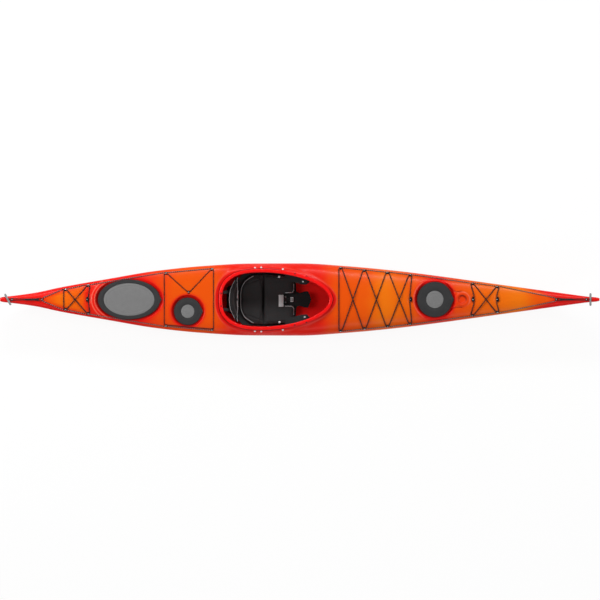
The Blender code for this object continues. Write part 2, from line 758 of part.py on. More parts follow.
def close_sheet(bm, top, low):
    for rows in (top, low):
        loft(bm, rows)
    edge = [(0, j) for j in range(len(top[0]))]
    edge += [(i, len(top[0]) - 1) for i in range(1, len(top))]
    edge += [(len(top) - 1, j) for j in reversed(range(len(top[0]) - 1))]
    edge += [(i, 0) for i in reversed(range(1, len(top) - 1))]
    for (i, j), (k, m) in zip(edge, edge[1:] + edge[:1]):
        bm.faces.new((top[i][j], top[k][m], low[k][m], low[i][j]))


# ---------------------------------------------------------------- bulkheads and hatch covers
def build_bulkhead(name, x, shell):
    """A wall cut to the inside of the boat on each of its two faces."""
    bm = bmesh.new()
    rings = []
    for end in (-1, 1):
        at = x + end * BULKHEAD_THICKNESS / 2
        centre = Vector((at, 0, (keel_z(at) + ridge_z(at)) / 2))
        ring = []
        for i in range(24):
            angle = 2 * math.pi * (i + 0.5) / 24
            ray = Vector((0, math.cos(angle), math.sin(angle)))
            reach = (shell.hit(centre, ray) - centre).length
            ring.append(centre + ray * (reach - BULKHEAD_CLEARANCE))
        rings.append(ring)
    solid_from_rings(bm, rings)
    return add_mesh(name, bm, "foam")


def cover_ring(bm, hatch, out, z, tab=0.0):
    ring = hatch_ring(hatch, out)
    ring[0] = ring[0] + Vector((tab, 0))
    return [bm.verts.new((p.x, p.y, z)) for p in ring]


def build_cover(name, hatch):
    """A rubber cover, which hooks over the hatch's riser and has a raised disc in its middle."""
    base = hatch["seat_z"] + HATCH_RISER_HEIGHT + FIT_GAP
    rim = -hatch["rim"]
    profile = [
        (-COVER_SKIRT, 0.0, 0.0),
        (-COVER_SKIRT, -0.0110, 0.0),
        (0.0, -0.0110, COVER_TAB),
        (0.0, 0.0010, COVER_TAB),
        (-0.0040, COVER_TOP, COVER_TAB / 2),
        (rim, COVER_TOP, 0.0),
        (rim - 0.0008, 0.0056, 0.0),
        (rim - 0.010, 0.0066, 0.0),
    ]
    bm = bmesh.new()
    solid_from_rings(bm, [cover_ring(bm, hatch, out, base + up, tab) for out, up, tab in profile])
    return add_mesh(name, bm, "cover_rubber", (*hatch["at"], base))


# ---------------------------------------------------------------- deck fittings
class Fitting:
    """A place on the deck with its own frame: along the tunnels, across them, and out of the deck."""

    def __init__(self, shell, x, y, turned=False, half_length=SADDLE_LENGTH / 2, half_width=None):
        step = 0.006
        slope_x = (deck_z(x + step, y) - deck_z(x - step, y)) / (2 * step)
        slope_y = (deck_z(x, y + step) - deck_z(x, y - step)) / (2 * step)
        self.normal = Vector((-slope_x, -slope_y, 1)).normalized()
        ahead = Vector((0, 1, 0)) if turned else Vector((1, 0, 0))
        self.along = (ahead - self.normal * ahead.dot(self.normal)).normalized()
        self.across = self.normal.cross(self.along)
        self.half_length = half_length
        wide = half_width or TUNNEL_OFFSET + TUNNEL / 2 + SADDLE_SIDE
        centre = Vector((x, y, shell.top(x, y)))
        rise = 0.0
        for i in range(-4, 5):
            for j in range(-4, 5):
                p = centre + self.along * half_length * i / 4 + self.across * wide * j / 4
                found = Vector((p.x, p.y, shell.top(p.x, p.y)))
                rise = max(rise, (found - centre).dot(self.normal))
        self.centre = centre + self.normal * (rise + SEAT_GAP)

    def at(self, along, across, up):
        return self.centre + self.along * along + self.across * across + self.normal * up

    def toward(self, side):
        """1 if the across direction points to this side of the boat, else -1."""
        return 1 if self.across.dot(side) > 0 else -1

    def pass_through(self, tunnel, direction, cord=CORD):
        """Where a cord bends before and after its tunnel, going along (1) or against (-1) the fitting."""
        reach = self.half_length + CORD_BEND
        height = cord / 2 + CORD_LIFT
        return [self.at(-direction * reach, tunnel, height), self.at(direction * reach, tunnel, height)]


def tunnel_arch(start, end):
    """The inside of one tunnel's roof, from one foot to the other, as (across, up) points."""
    turn = math.copysign(TUNNEL_CHAMFER, end - start)
    return [
        (start, 0.0),
        (start, TUNNEL - TUNNEL_CHAMFER),
        (start + turn, TUNNEL),
        (end - turn, TUNNEL),
        (end, TUNNEL - TUNNEL_CHAMFER),
        (end, 0.0),
    ]


def saddle_profile():
    inner, outer = POST / 2, POST / 2 + TUNNEL
    edge, shoulder = outer + SADDLE_SIDE, 0.0030
    profile = [(edge, 0.0), (edge, SADDLE_HEIGHT - shoulder), (edge - shoulder, SADDLE_HEIGHT)]
    profile += [(-a, h) for a, h in reversed(profile)]
    return profile + tunnel_arch(-outer, -inner) + tunnel_arch(inner, outer)


def cleat_profile(nose):
    """A low block across the boat, with one tunnel behind its screw and a sloping face ahead of it."""
    outer = POST / 2 + TUNNEL
    profile = [
        (-outer - SADDLE_SIDE, 0.0),
        (-outer - SADDLE_SIDE, SADDLE_HEIGHT - 0.002),
        (-outer, SADDLE_HEIGHT),
        (POST / 2 + 0.004, SADDLE_HEIGHT),
        (CLEAT_NOSE, 0.004),
        (CLEAT_NOSE, 0.0),
    ]
    profile = profile + tunnel_arch(-outer, -POST / 2)[::-1]
    return [(a * nose, h) for a, h in profile]


def fitting_solid(fitting, profile, sink=0.0):
    bm = bmesh.new()
    half = fitting.half_length
    base = [fitting.at(-half, across, up - (sink if up == 0.0 else 0.0)) for across, up in profile]
    extrude_polygon(bm, base, fitting.along * half * 2)
    return bm


def build_fittings(shell):
    found = {}
    for key, (x, y) in PAIRS.items():
        for side, sign in (("port", 1), ("starboard", -1)):
            found[f"guide_{key}_{side}"] = Fitting(shell, x, sign * y)
    for name, (x, y) in CENTRE_GUIDES.items():
        found[name] = Fitting(shell, x, y, turned=True)
    found["guide_day_hatch"] = Fitting(shell, *DAY_GUIDE)
    for name, fitting in found.items():
        add_mesh(name, fitting_solid(fitting, saddle_profile()), "black_plastic")
    for name, (x, nose) in CLEATS.items():
        found[name] = Fitting(shell, x, 0.0, turned=True, half_length=CLEAT_HALF_LENGTH, half_width=CLEAT_NOSE)
        facing = found[name].toward(Vector((1, 0, 0))) * nose
        add_mesh(name, fitting_solid(found[name], cleat_profile(facing)), "black_plastic")
    return found


def add_end_guides(lengths, shell):
    """Moulded guides at the two tips, one piece with the deck."""
    found = {}
    for end, x in END_GUIDE_X.items():
        fitting = Fitting(shell, x, 0.0)
        bm = fitting_solid(fitting, saddle_profile(), sink=0.003)
        bmesh.ops.recalc_face_normals(bm, faces=bm.faces[:])
        mesh = bpy.data.meshes.new(f"{end}_end_guide_shape")
        bm.to_mesh(mesh)
        bm.free()
        combine(lengths[end], guide(mesh.name, mesh), "UNION")
        found[end] = fitting
    return found


# ---------------------------------------------------------------- cords
def taut(shell, start, end, radius, lift_at=None):
    """A cord pulled straight between two points over the deck, which it never cuts into."""
    run = (end.xy - start.xy).length
    count = max(2, math.ceil(run / CORD_STEP))
    points = [start]
    for i in range(1, count):
        p = start.lerp(end, i / count)
        z = shell.top(p.x, p.y) + radius + CORD_LIFT + CORD_SLACK
        if lift_at is not None and abs(i / count - lift_at) * run < 0.6 * CORD_STEP + radius:
            z += 2 * radius + 0.0012
        points.append(Vector((p.x, p.y, z)))
    points.append(end)
    return thinned(upper_hull(points))


def upper_hull(points):
    kept = []
    for p in points:
        while len(kept) > 1:
            a, b = kept[-2], kept[-1]
            t = (b.xy - a.xy).length / (p.xy - a.xy).length
            if b.z > a.z + (p.z - a.z) * t:
                break
            kept.pop()
        kept.append(p)
    return kept


def thinned(points):
    """Drops the points that lie within the cord's slack of a straight run."""
    if len(points) < 3:
        return points
    a, b = points[0], points[-1]
    gaps = [p.z - (a.z + (b.z - a.z) * (p.xy - a.xy).length / (b.xy - a.xy).length) for p in points]
    most = max(range(len(points)), key=lambda i: gaps[i])
    if gaps[most] < CORD_SLACK:
        return [a, b]
    return thinned(points[: most + 1])[:-1] + thinned(points[most:])


def rounded(points, bend, closed):
    """Replaces each sharp corner of a path with a short curve."""
    out = []
    last = len(points) - 1
    for i, p in enumerate(points):
        if not closed and i in (0, last):
            out.append(p)
            continue
        before, after = points[i - 1], points[(i + 1) % len(points)]
        back, ahead = before - p, after - p
        straightness = math.degrees(back.angle(ahead, math.pi))
        if straightness > 166:
            out.append(p)
            continue
        a = p + back.normalized() * min(bend, back.length * 0.45)
        b = p + ahead.normalized() * min(bend, ahead.length * 0.45)
        out += [a, b] if straightness > 125 else [a, (a + 2 * p + b) / 4, b]
    return out


def cord_bmesh(points, radius, closed):
    bm = bmesh.new()
    rings = []
    for i, p in enumerate(points):
        before = points[i - 1] if closed or i else p
        after = points[(i + 1) % len(points)] if closed or i < len(points) - 1 else p
        ahead = ((after - p).normalized() + (p - before).normalized()).normalized()
        side = ahead.cross(Vector((0, 0, 1))).normalized()
        up = side.cross(ahead)
        angles = [2 * math.pi * (k + 0.5) / CORD_SIDES for k in range(CORD_SIDES)]
        rings.append([p + side * radius * math.cos(a) + up * radius * math.sin(a) for a in angles])
    solid_from_rings(bm, rings, closed)
    return bm


def lead(shell, stops, radius, closed=False, over=()):
    """Runs a cord through its stops; over maps the number of a leg to where it crosses above another."""
    points = list(stops[0])
    legs = len(stops) if closed else len(stops) - 1
    over = dict(over)
    for i in range(legs):
        start, end = stops[i][-1], stops[(i + 1) % len(stops)][0]
        lift_at = over.get(i)
        if lift_at is True:
            lift_at = start.y / (start.y - end.y)
        points += taut(shell, start, end, radius, lift_at)[1:-1]
        if i + 1 < len(stops):
            points += list(stops[i + 1])
    return cord_bmesh(rounded(points, CORD_BEND, closed), radius, closed)


class Rigging:
    """Leads the cords through the fittings, the deck lines outboard and the bungees inboard."""

    def __init__(self, shell, fittings, ends):
        self.shell, self.fittings, self.ends = shell, fittings, ends

    def side_stop(self, key, side, direction, outboard):
        fitting = self.fittings[f"guide_{key}_{side}"]
        out = Vector((0, 1 if side == "port" else -1, 0))
        sign = fitting.toward(out) * (1 if outboard else -1)
        return fitting.pass_through(sign * TUNNEL_OFFSET, direction)

    def centre_stop(self, name, toward_x, direction):
        """Through a fitting on the centreline, to port (1) or to starboard (-1)."""
        fitting = self.fittings[name]
        sign = fitting.toward(Vector((1, 0, 0))) * toward_x
        return fitting.pass_through(sign * TUNNEL_OFFSET, direction)

    def cleat_stop(self, name, direction):
        return self.centre_stop(name, -CLEATS[name][1], direction)

    def deck_line(self, name, keys, middle, toward_x):
        ahead = 1 if keys[0] < keys[-1] and middle.endswith("7") else -1
        stops = [self.side_stop(k, "port", ahead, True) for k in keys]
        stops.append(self.centre_stop(middle, toward_x, -1))
        stops += [self.side_stop(k, "starboard", -ahead, True) for k in reversed(keys)]
        add_mesh(name, lead(self.shell, stops, CORD / 2), "deck_line")

    def crossed(self, name, keys, cleats, over):
        """A loop that zigzags from side to side up the deck and crosses itself on the way back."""
        sides = ("port", "starboard")
        stops = []
        for i, key in enumerate(keys):
            stops.append(self.side_stop(key, sides[i % 2], 1, False))
        far = sides[(len(keys) - 1) % 2]
        if keys[-1] in cleats:
            stops.append(self.cleat_stop(cleats[keys[-1]], 1 if far == "starboard" else -1))
        for i, key in reversed(list(enumerate(keys))):
            stops.append(self.side_stop(key, sides[(i + 1) % 2], -1, False))
        if keys[0] in cleats:
            stops.append(self.cleat_stop(cleats[keys[0]], 1))
        add_mesh(name, lead(self.shell, stops, CORD / 2, closed=True, over=over), "bungee")

    def around_day_hatch(self):
        day = self.fittings["guide_day_hatch"]
        stops = [
            self.side_stop("stern_4", "port", 1, False),
            day.pass_through(day.toward(Vector((0, 1, 0))) * TUNNEL_OFFSET, 1),
            self.side_stop("stern_5", "port", 1, False),
            self.side_stop("stern_5", "starboard", -1, False),
            self.side_stop("stern_4", "starboard", -1, False),
        ]
        add_mesh("aft_bungee", lead(self.shell, stops, CORD / 2, closed=True), "bungee")

    def toggle_keeper(self, end, middle, sign):
        """A loop from the last deck guide, through the tip's two tunnels and round the toggle's post."""
        radius = TOGGLE_CORD / 2
        tip, last = self.ends[end], self.fittings[middle]
        tunnel = last.toward(Vector((1, 0, 0))) * sign * TUNNEL_OFFSET
        start = last.pass_through(tunnel, 1, TOGGLE_CORD)
        knot = Vector((last.centre.x + sign * 0.080, 0, 0))
        knot.z = self.shell.top(knot.x, 0) + radius + 0.0012
        side = Vector((0, radius + 0.0004, 0))
        post = Vector((TOGGLE_X[end], 0, toggle_z(self.shell, end)))
        port = tip.toward(Vector((0, 1, 0))) * TUNNEL_OFFSET
        to_port = tip.pass_through(port, sign, TOGGLE_CORD)
        to_starboard = tip.pass_through(-port, -sign, TOGGLE_CORD)
        turn = TOGGLE_POST + radius + 0.0005
        loop = []
        for i in range(7):
            angle = math.pi * (0.5 - i / 6)
            loop.append(post + Vector((sign * turn * math.cos(angle), turn * math.sin(angle), 0)))
        gap = Vector((sign * 0.0085, 0, 0))
        share = (CORD_BEND + tip.half_length * 2) / (2 * (CORD_BEND + tip.half_length))
        into, out = to_port[0].lerp(to_port[1], share), to_starboard[1].lerp(to_starboard[0], share)
        level = Vector((-sign * 0.0125, 0, 0))
        points = [start[0], start[1], knot + side - gap, knot + side + gap, to_port[0], into]
        points += [loop[0] + level, *loop, loop[-1] + level]
        points += [out, to_starboard[1], knot - side + gap, knot - side - gap]
        bm = cord_bmesh(rounded(points, CORD_BEND * 0.7, True), radius, True)
        cord = add_mesh(f"{end}_toggle_keeper", bm, "deck_line")
        lump = bmesh.new()
        size = Matrix.Diagonal((0.0085, 0.0072, 0.0052, 1))
        place = Matrix.Translation(knot + Vector((0, 0, 0.0026)))
        bmesh.ops.create_icosphere(lump, subdivisions=1, radius=1.0, matrix=place @ size)
        mesh = bpy.data.meshes.new(f"{end}_knot_shape")
        lump.to_mesh(mesh)
        lump.free()
        combine(cord, guide(mesh.name, mesh), "UNION")


def toggle_z(shell, end):
    return shell.top(TOGGLE_X[end], 0.0) + TOGGLE_HALF_HEIGHT + 0.0008


def build_toggle(shell, end):
    """A rounded bar with a slot round its middle and a post left standing in the slot."""
    bm = bmesh.new()
    half = TOGGLE_LENGTH / 2
    rings = []
    for y, scale in ((-half, 0.55), (-half + 0.006, 0.95), (-0.02, 1.0), (0.02, 1.0), (half - 0.006, 0.95), (half, 0.55)):
        ring = []
        for i in range(12):
            angle = 2 * math.pi * i / 12
            x, z = TOGGLE_HALF_WIDTH * math.cos(angle), TOGGLE_HALF_HEIGHT * math.sin(angle)
            ring.append(Vector((x * scale, y, z * scale)))
        rings.append(ring)
    solid_from_rings(bm, rings)
    place = Matrix.Rotation(math.radians(TOGGLE_SWING[end]), 4, "Z")
    bmesh.ops.transform(bm, matrix=place, verts=bm.verts)
    centre = Vector((TOGGLE_X[end], 0, toggle_z(shell, end)))
    bmesh.ops.translate(bm, vec=centre, verts=bm.verts)
    toggle = add_mesh(f"{end}_toggle", bm, "grey_plastic", centre)
    cut = bmesh.new()
    rows = []
    for z in (-TOGGLE_SLOT / 2, TOGGLE_SLOT / 2):
        for radius in (TOGGLE_POST, TOGGLE_SLOT_RADIUS):
            rows.append([cut.verts.new((centre.x + p.x, centre.y + p.y, centre.z + z)) for p in circle(0, 0, radius, 12)])
    bridge(cut, [rows[0], rows[1], rows[3], rows[2], rows[0]])
    bmesh.ops.recalc_face_normals(cut, faces=cut.faces[:])
    mesh = bpy.data.meshes.new(f"{end}_toggle_slot")
    cut.to_mesh(mesh)
    cut.free()
    subtract(toggle, guide(mesh.name, mesh))
    return toggle


# ---------------------------------------------------------------- seat
pan_half_width = monotone_curve(PAN_OUTLINE + PAN_NOSE)


def pan_top_z(x, y):
    """Dished from side to side and sloping up towards the knees."""
    at = x - COCKPIT_SHIFT
    return PAN_CENTRE_Z + 0.7 * y * y + 12 * y**4 + 0.10 * max(0.0, at + 0.30) ** 2 + 0.35 * max(0.0, -0.42 - at) ** 2


def build_seat_pan(shell):
    columns = []
    for at in (-0.575, -0.51, -0.44, -0.35, -0.26, -0.18, -0.10, -0.036, -0.026, 0.0, 0.045, 0.085):
        x = at + COCKPIT_SHIFT
        w = pan_half_width(x)
        shares = (-1, -0.8, -0.55, -0.25, 0, 0.25, 0.55, 0.8, 1)
        columns.append([(x, s * w, pan_top_z(x, s * w)) for s in shares])
    pan = plate("seat_pan", columns, PAN_WALL, "black_plastic")
    for side in (-1, 1):
        (start, end), y = RUNNER_X, side * RUNNER_Y
        low = max(shell.floor(x, y + e * RUNNER_WIDTH / 2) for x in (start, COCKPIT_SHIFT - 0.2, end) for e in (-1, 1))
        high = min(pan_top_z(x, y - side * RUNNER_WIDTH / 2) for x in (start, COCKPIT_SHIFT - 0.3, end)) - PAN_WALL / 2
        low += FIT_GAP + 0.0002
        size = (end - start, RUNNER_WIDTH, high - low)
        side_name = "port" if side > 0 else "starboard"
        runner = add_box(f"{side_name}_runner_shape", ((start + end) / 2, y, (low + high) / 2), size)
        combine(pan, runner, "UNION")
    return pan


def cushion_rise(edge_gap, thickness, radius=0.022):
    """The height of a stuffed cushion this far in from its edge: a rounded side and then a crown."""
    t = min(1.0, max(0.0, edge_gap / radius))
    side = 0.42 + 0.50 * math.sqrt(1 - (1 - t) ** 2)
    return thickness * (side + 0.08 * smoothstep(edge_gap / 0.07))


def build_cushion(name, shell, rear, front, thickness, channels, origin):
    """A stuffed pad lying on the pan, with stitched channels that draw its top down."""
    shares = sorted({s * side for s in (0, 0.13, 0.22, 0.30, 0.46, 0.56, 0.60, 0.64, 0.80, 0.92, 1) for side in (-1, 1)})
    steps = (0.0, 0.05, 0.14, 0.30, 0.5, 0.7, 0.86, 0.95, 1.0)
    bm = bmesh.new()
    top, low = [], []
    for u in steps:
        upper, under = [], []
        for v in shares:
            start, end = rear(v), front(v)
            x = start + (end - start) * u
            y = v * (pan_half_width(x) - 0.012)
            edge = min(u * (end - start), (1 - u) * (end - start), (1 - abs(v)) * 0.19)
            sink = channels(u, v)
            z = shell.top(x, y) + FIT_GAP + CUSHION_LIFT * abs(v)
            under.append(bm.verts.new((x, y, z)))
            upper.append(bm.verts.new((x, y, z + cushion_rise(edge, thickness) - sink)))
        top.append(upper)
        low.append(under)
    close_sheet(bm, top, low)
    return add_mesh(name, bm, "seat_fabric", origin, sharp_degrees=60)


def build_seat(shell):
    pan = Shell(build_seat_pan(shell))

    def side_channels(u, v):
        return 0.007 * (1 if abs(abs(v) - 0.60) < 0.01 else 0)

    def rear_edge(v):
        return CUSHION_X[0] + CUSHION_REAR_SWEEP * v * v

    def front_edge(v):
        t = smoothstep((abs(v) - LEG_NOTCH_SHARE + 0.04) / 0.08)
        return LEG_NOTCH_X + (LEG_SUPPORT_X[1] - LEG_NOTCH_X) * t

    hinge_z = pan_top_z(LEG_SUPPORT_X[0], 0) + LEG_HINGE_RISE
    build_cushion("seat_cushion", pan, rear_edge, lambda v: CUSHION_X[1], CUSHION_THICKNESS, side_channels, (0, 0, 0))
    hinge = (LEG_SUPPORT_X[0], 0, hinge_z)
    build_cushion("leg_support", pan, lambda v: hinge[0], front_edge, LEG_SUPPORT_THICKNESS, side_channels, hinge)
    build_backrest(pan)


def build_backrest(pan):
    """A padded band, swept forward at its sides and arched up along its lower edge."""
    bm = bmesh.new()
    radius, length = BACKREST_FOOT
    sides = (-length / 2, 0.0, length / 2)
    foot = max(pan.top(BACKREST_X, y) for y in sides) + FIT_GAP
    across = (-1, -0.93, -0.8, -0.6, -0.4, -0.2, 0, 0.2, 0.4, 0.6, 0.8, 0.93, 1)
    heights = (0.0, 0.06, 0.2, 0.4, 0.46, 0.52, 0.75, 0.93, 1.0)
    front, back = [], []
    for v in across:
        low = foot + 0.006 + BACKREST_ARCH * v * v
        high = foot + BACKREST_HEIGHT - 0.030 * v * v
        face, rear = [], []
        for h in heights:
            edge = min(h * (high - low), (1 - h) * (high - low), (1 - abs(v)) * BACKREST_HALF_WIDTH)
            thick = cushion_rise(edge, BACKREST_THICKNESS) - (0.007 if h == 0.46 else 0.0)
            x = BACKREST_X + BACKREST_SWEEP * v * v - BACKREST_LEAN * h
            z = low + (high - low) * h
            rear.append(bm.verts.new((x - thick * 0.45, v * BACKREST_HALF_WIDTH, z)))
            face.append(bm.verts.new((x + thick * 0.55, v * BACKREST_HALF_WIDTH, z)))
        front.append(face)
        back.append(rear)
    close_sheet(bm, front, back)
    pivot = Vector((BACKREST_X, 0, foot + radius))
    band = add_mesh("backrest", bm, "seat_fabric", pivot, sharp_degrees=60)
    bar = bmesh.new()
    turn = Matrix.Translation(pivot) @ Matrix.Rotation(math.pi / 2, 4, "X")
    bmesh.ops.create_cone(
        bar, segments=14, radius1=radius, radius2=radius, depth=length, cap_ends=True, matrix=turn
    )
    mesh = bpy.data.meshes.new("backrest_foot_shape")
    bar.to_mesh(mesh)
    bar.free()
    combine(band, guide(mesh.name, mesh), "UNION")


def build_thigh_brace(side):
    """A plate bolted under the cockpit's edge, reaching inboard over the knee and dropping away."""
    columns = []
    for i in range(6):
        x = BRACE_X[0] + (BRACE_X[1] - BRACE_X[0]) * i / 5
        share = ((x - COCKPIT_WIDEST_X) / COCKPIT_FORE) ** COCKPIT_FORE_POWER
        edge = COCKPIT_HALF_WIDTH * (1 - share) ** (1 / COCKPIT_FORE_POWER)
        reach = BRACE_REACH * math.sin(math.pi * (i + 0.9) / 6.8) ** 0.5
        z = coaming_seat_z(x) - WALL - 0.0012
        row = []
        for t in (0.0, 0.3, 0.55, 0.8, 1.0):
            out = 0.016 - (0.016 + reach) * t
            drop = BRACE_DROP * smoothstep((t - 0.15) / 0.85)
            row.append((x, side * (edge + out), z - drop))
        columns.append(row)
    name = "thigh_brace_port" if side > 0 else "thigh_brace_starboard"
    plate(name, columns, BRACE_THICKNESS, "black_plastic")


# ---------------------------------------------------------------- footrests and skeg
def build_footrest(shell, side):
    name = "port" if side > 0 else "starboard"
    thick, tall = RAIL_SIZE
    levels = (RAIL_Z - tall / 2, RAIL_Z, RAIL_Z + tall / 2)
    ends = []
    for x in RAIL_X:
        reach = min(abs(shell.side(x + dx, z, side)) for z in levels for dx in (-0.002, 0.0, 0.002))
        ends.append(Vector((x, side * (reach - FIT_GAP), RAIL_Z)))
    along = (ends[1] - ends[0]).normalized()
    inboard = Vector((along.y, -along.x, 0)) * side
    up = Vector((0, 0, 1))
    bm = bmesh.new()
    corners = [ends[0], ends[0] + inboard * thick, ends[1] + inboard * thick, ends[1]]
    extrude_polygon(bm, [p - up * tall / 2 for p in corners], up * tall)
    add_mesh(f"foot_rail_{name}", bm, "aluminium")
    foot = ends[0] + along * PEG_START + inboard * (thick + FIT_GAP)

    def block(a, b, tall):
        corners = [foot + along * u + inboard * v - up * tall / 2 for u, v in (a, (b[0], a[1]), b, (a[0], b[1]))]
        solid = bmesh.new()
        extrude_polygon(solid, corners, up * tall)
        return solid

    length, depth = PEG_SLIDER
    peg = add_mesh(f"foot_peg_{name}", block((0, 0), (length, depth), RAIL_SIZE[1]), "black_plastic", foot)
    bm = block((length - PEG_PEDAL, depth - 0.004), (length + 0.001, PEG_REACH), PEG_HEIGHT)
    bmesh.ops.recalc_face_normals(bm, faces=bm.faces[:])
    mesh = bpy.data.meshes.new(f"foot_pedal_{name}_shape")
    bm.to_mesh(mesh)
    bm.free()
    combine(peg, guide(mesh.name, mesh), "UNION")


def build_skeg(shell):
    aft, fore = skeg_middle_x() - skeg_room() / 2, skeg_middle_x() + skeg_room() / 2
    outer = SKEG_SLOT / 2 + SKEG_BOX_WALL
    low = {x: max(shell.floor(x + dx, outer) for dx in (-0.001, 0.001)) + FIT_GAP for x in (aft - 0.003, fore + 0.003)}
    top_z = 0.160
    bm = bmesh.new()
    a, f = aft - 0.003, fore + 0.003
    side = [(a, low[a] + 0.004), (f, low[f] + 0.004), (f, 0.110), (f - 0.05, top_z), (a, top_z)]
    base = [(x, -outer, z) for x, z in side]
    extrude_polygon(bm, base, (0, 2 * outer, 0))
    box = add_mesh("skeg_box", bm, "black_plastic")
    bm = bmesh.new()
    half = SKEG_SLOT / 2
    side = [(aft, -0.05), (fore, -0.05), (fore, 0.105), (fore - 0.05, top_z - 0.003), (aft, top_z - 0.003)]
    extrude_polygon(bm, [(x, -half, z) for x, z in side], (0, 2 * half, 0))
    bmesh.ops.recalc_face_normals(bm, faces=bm.faces[:])
    mesh = bpy.data.meshes.new("skeg_box_cavity")
    bm.to_mesh(mesh)
    bm.free()
    subtract(box, guide(mesh.name, mesh))
    pivot = Vector((SKEG_PIVOT_X, 0, keel_z(SKEG_PIVOT_X) + 0.026))
    tip_x = SKEG_PIVOT_X - SKEG_LENGTH + 0.012
    lip = 0.003
    outline = [(pivot.x + 0.012, pivot.z - 0.004), (pivot.x + 0.010, pivot.z + 0.012)]
    outline += [(pivot.x - 0.02, pivot.z + 0.024), (tip_x + 0.05, pivot.z + 0.078), (tip_x, pivot.z + 0.072)]
    outline += [(tip_x, keel_z(tip_x) + lip), (pivot.x - 0.02, keel_z(pivot.x - 0.02) + lip)]
    outline += [(pivot.x, keel_z(pivot.x) + lip + 0.006)]
    bm = bmesh.new()
    thick = SKEG_SLOT - 2 * SKEG_SIDE_GAP
    extrude_polygon(bm, [(x, -thick / 2, z) for x, z in outline], (0, thick, 0))
    add_mesh("skeg_blade", bm, "black_plastic", pivot)


def main():
    clear_scene()
    hull = build_hull()
    deck = build_deck()
    inside_shell = Shell(hull, deck)
    for name, x in BULKHEADS.items():
        build_bulkhead(name, x, inside_shell)
    for name, hatch in HATCHES.items():
        build_cover(name, hatch)
    top = Shell(deck)
    lengths = split_deck(deck)
    fittings = build_fittings(top)
    ends = add_end_guides(lengths, top)
    rigging = Rigging(top, fittings, ends)
    rigging.deck_line("stern_deck_line", ["stern_5", "stern_4", "stern_3", "stern_2"], "guide_stern_1", 1)
    rigging.deck_line("bow_deck_line", [f"bow_{i}" for i in range(1, 7)], "guide_bow_7", -1)
    fore = ["bow_1", "bow_2", "bow_3", "bow_4"]
    rigging.crossed("fore_bungee", fore, {"bow_4": "cleat_bow_4"}, {5: True, 6: True, 7: True})
    bow = {"bow_5": "cleat_bow_5", "bow_6": "cleat_bow_6"}
    rigging.crossed("bow_bungee", ["bow_5", "bow_6"], bow, {3: True})
    rigging.crossed("stern_bungee", ["stern_2", "stern_3"], {"stern_3": "cleat_stern"}, {3: True})
    rigging.around_day_hatch()
    rigging.toggle_keeper("stern", "guide_stern_1", -1)
    rigging.toggle_keeper("bow", "guide_bow_7", 1)
    for end in TOGGLE_X:
        build_toggle(top, end)
    floor = Shell(hull)
    build_seat(floor)
    for side in (1, -1):
        build_thigh_brace(side)
        build_footrest(floor, side)
    build_skeg(floor)


main()
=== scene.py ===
"""Looks of the touring kayak: fine mouldings, fittings, cords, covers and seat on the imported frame.

Metres, +Z up, the bow to +X and port to +Y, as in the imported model.
"""

import math

import bmesh
import bpy
import numpy as np
from mathutils import Matrix, Vector
from mathutils.bvhtree import BVHTree
from mathutils.geometry import delaunay_2d_cdt


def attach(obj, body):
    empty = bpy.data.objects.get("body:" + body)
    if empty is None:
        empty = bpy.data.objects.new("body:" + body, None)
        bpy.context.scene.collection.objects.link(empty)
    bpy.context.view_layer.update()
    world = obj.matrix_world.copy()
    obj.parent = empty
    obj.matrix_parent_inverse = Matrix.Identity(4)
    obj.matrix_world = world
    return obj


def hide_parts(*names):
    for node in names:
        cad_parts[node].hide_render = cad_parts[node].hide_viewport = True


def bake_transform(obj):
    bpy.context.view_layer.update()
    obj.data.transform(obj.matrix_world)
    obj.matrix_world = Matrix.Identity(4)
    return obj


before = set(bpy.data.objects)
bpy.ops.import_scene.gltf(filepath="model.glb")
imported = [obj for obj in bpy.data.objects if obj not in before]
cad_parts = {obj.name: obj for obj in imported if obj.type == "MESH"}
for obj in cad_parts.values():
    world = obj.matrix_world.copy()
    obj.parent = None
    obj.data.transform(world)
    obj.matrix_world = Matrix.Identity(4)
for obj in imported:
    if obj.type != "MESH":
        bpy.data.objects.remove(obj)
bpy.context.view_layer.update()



def linked(name, data):
    """A new object in the scene."""
    obj = bpy.data.objects.new(name, data)
    bpy.context.scene.collection.objects.link(obj)
    return obj


# ---------------------------------------------------------------- view, light and floor
PHOTO_WIDTH, PIXEL = 600, 0.00787  # pixels, and metres to a pixel
VIEW_CENTRE, VIEW_HEIGHT = (0.002, -0.004), 6.0


def add_camera():
    data = bpy.data.cameras.new("camera")
    data.type = "ORTHO"
    data.ortho_scale = PHOTO_WIDTH * PIXEL
    camera = linked("camera", data)
    camera.location = (*VIEW_CENTRE, VIEW_HEIGHT)
    bpy.context.scene.camera = camera


def add_softbox(name, place, target, size, watts):
    data = bpy.data.lights.new(name, "AREA")
    data.shape = "RECTANGLE"
    data.size, data.size_y = size
    data.energy = watts
    lamp = linked(name, data)
    lamp.location = place
    lamp.rotation_euler = (Vector(target) - Vector(place)).to_track_quat("-Z", "Y").to_euler()
    lamp.visible_camera = False


add_camera()
bpy.context.scene.view_settings.view_transform = "Standard"
add_softbox("key_softbox", (-0.6, 4.6, 3.9), (0.0, 0.0, 0.2), (7.5, 0.9), 285)
add_softbox("fill_softbox", (0.4, -4.4, 3.6), (0.0, 0.0, 0.2), (7.5, 1.2), 70)
add_softbox("stern_softbox", (-4.6, 0.6, 3.7), (-0.2, 0.0, 0.1), (1.6, 3.0), 120)
add_softbox("bow_softbox", (4.6, 0.4, 3.9), (0.0, 0.0, 0.1), (1.6, 3.0), 78)


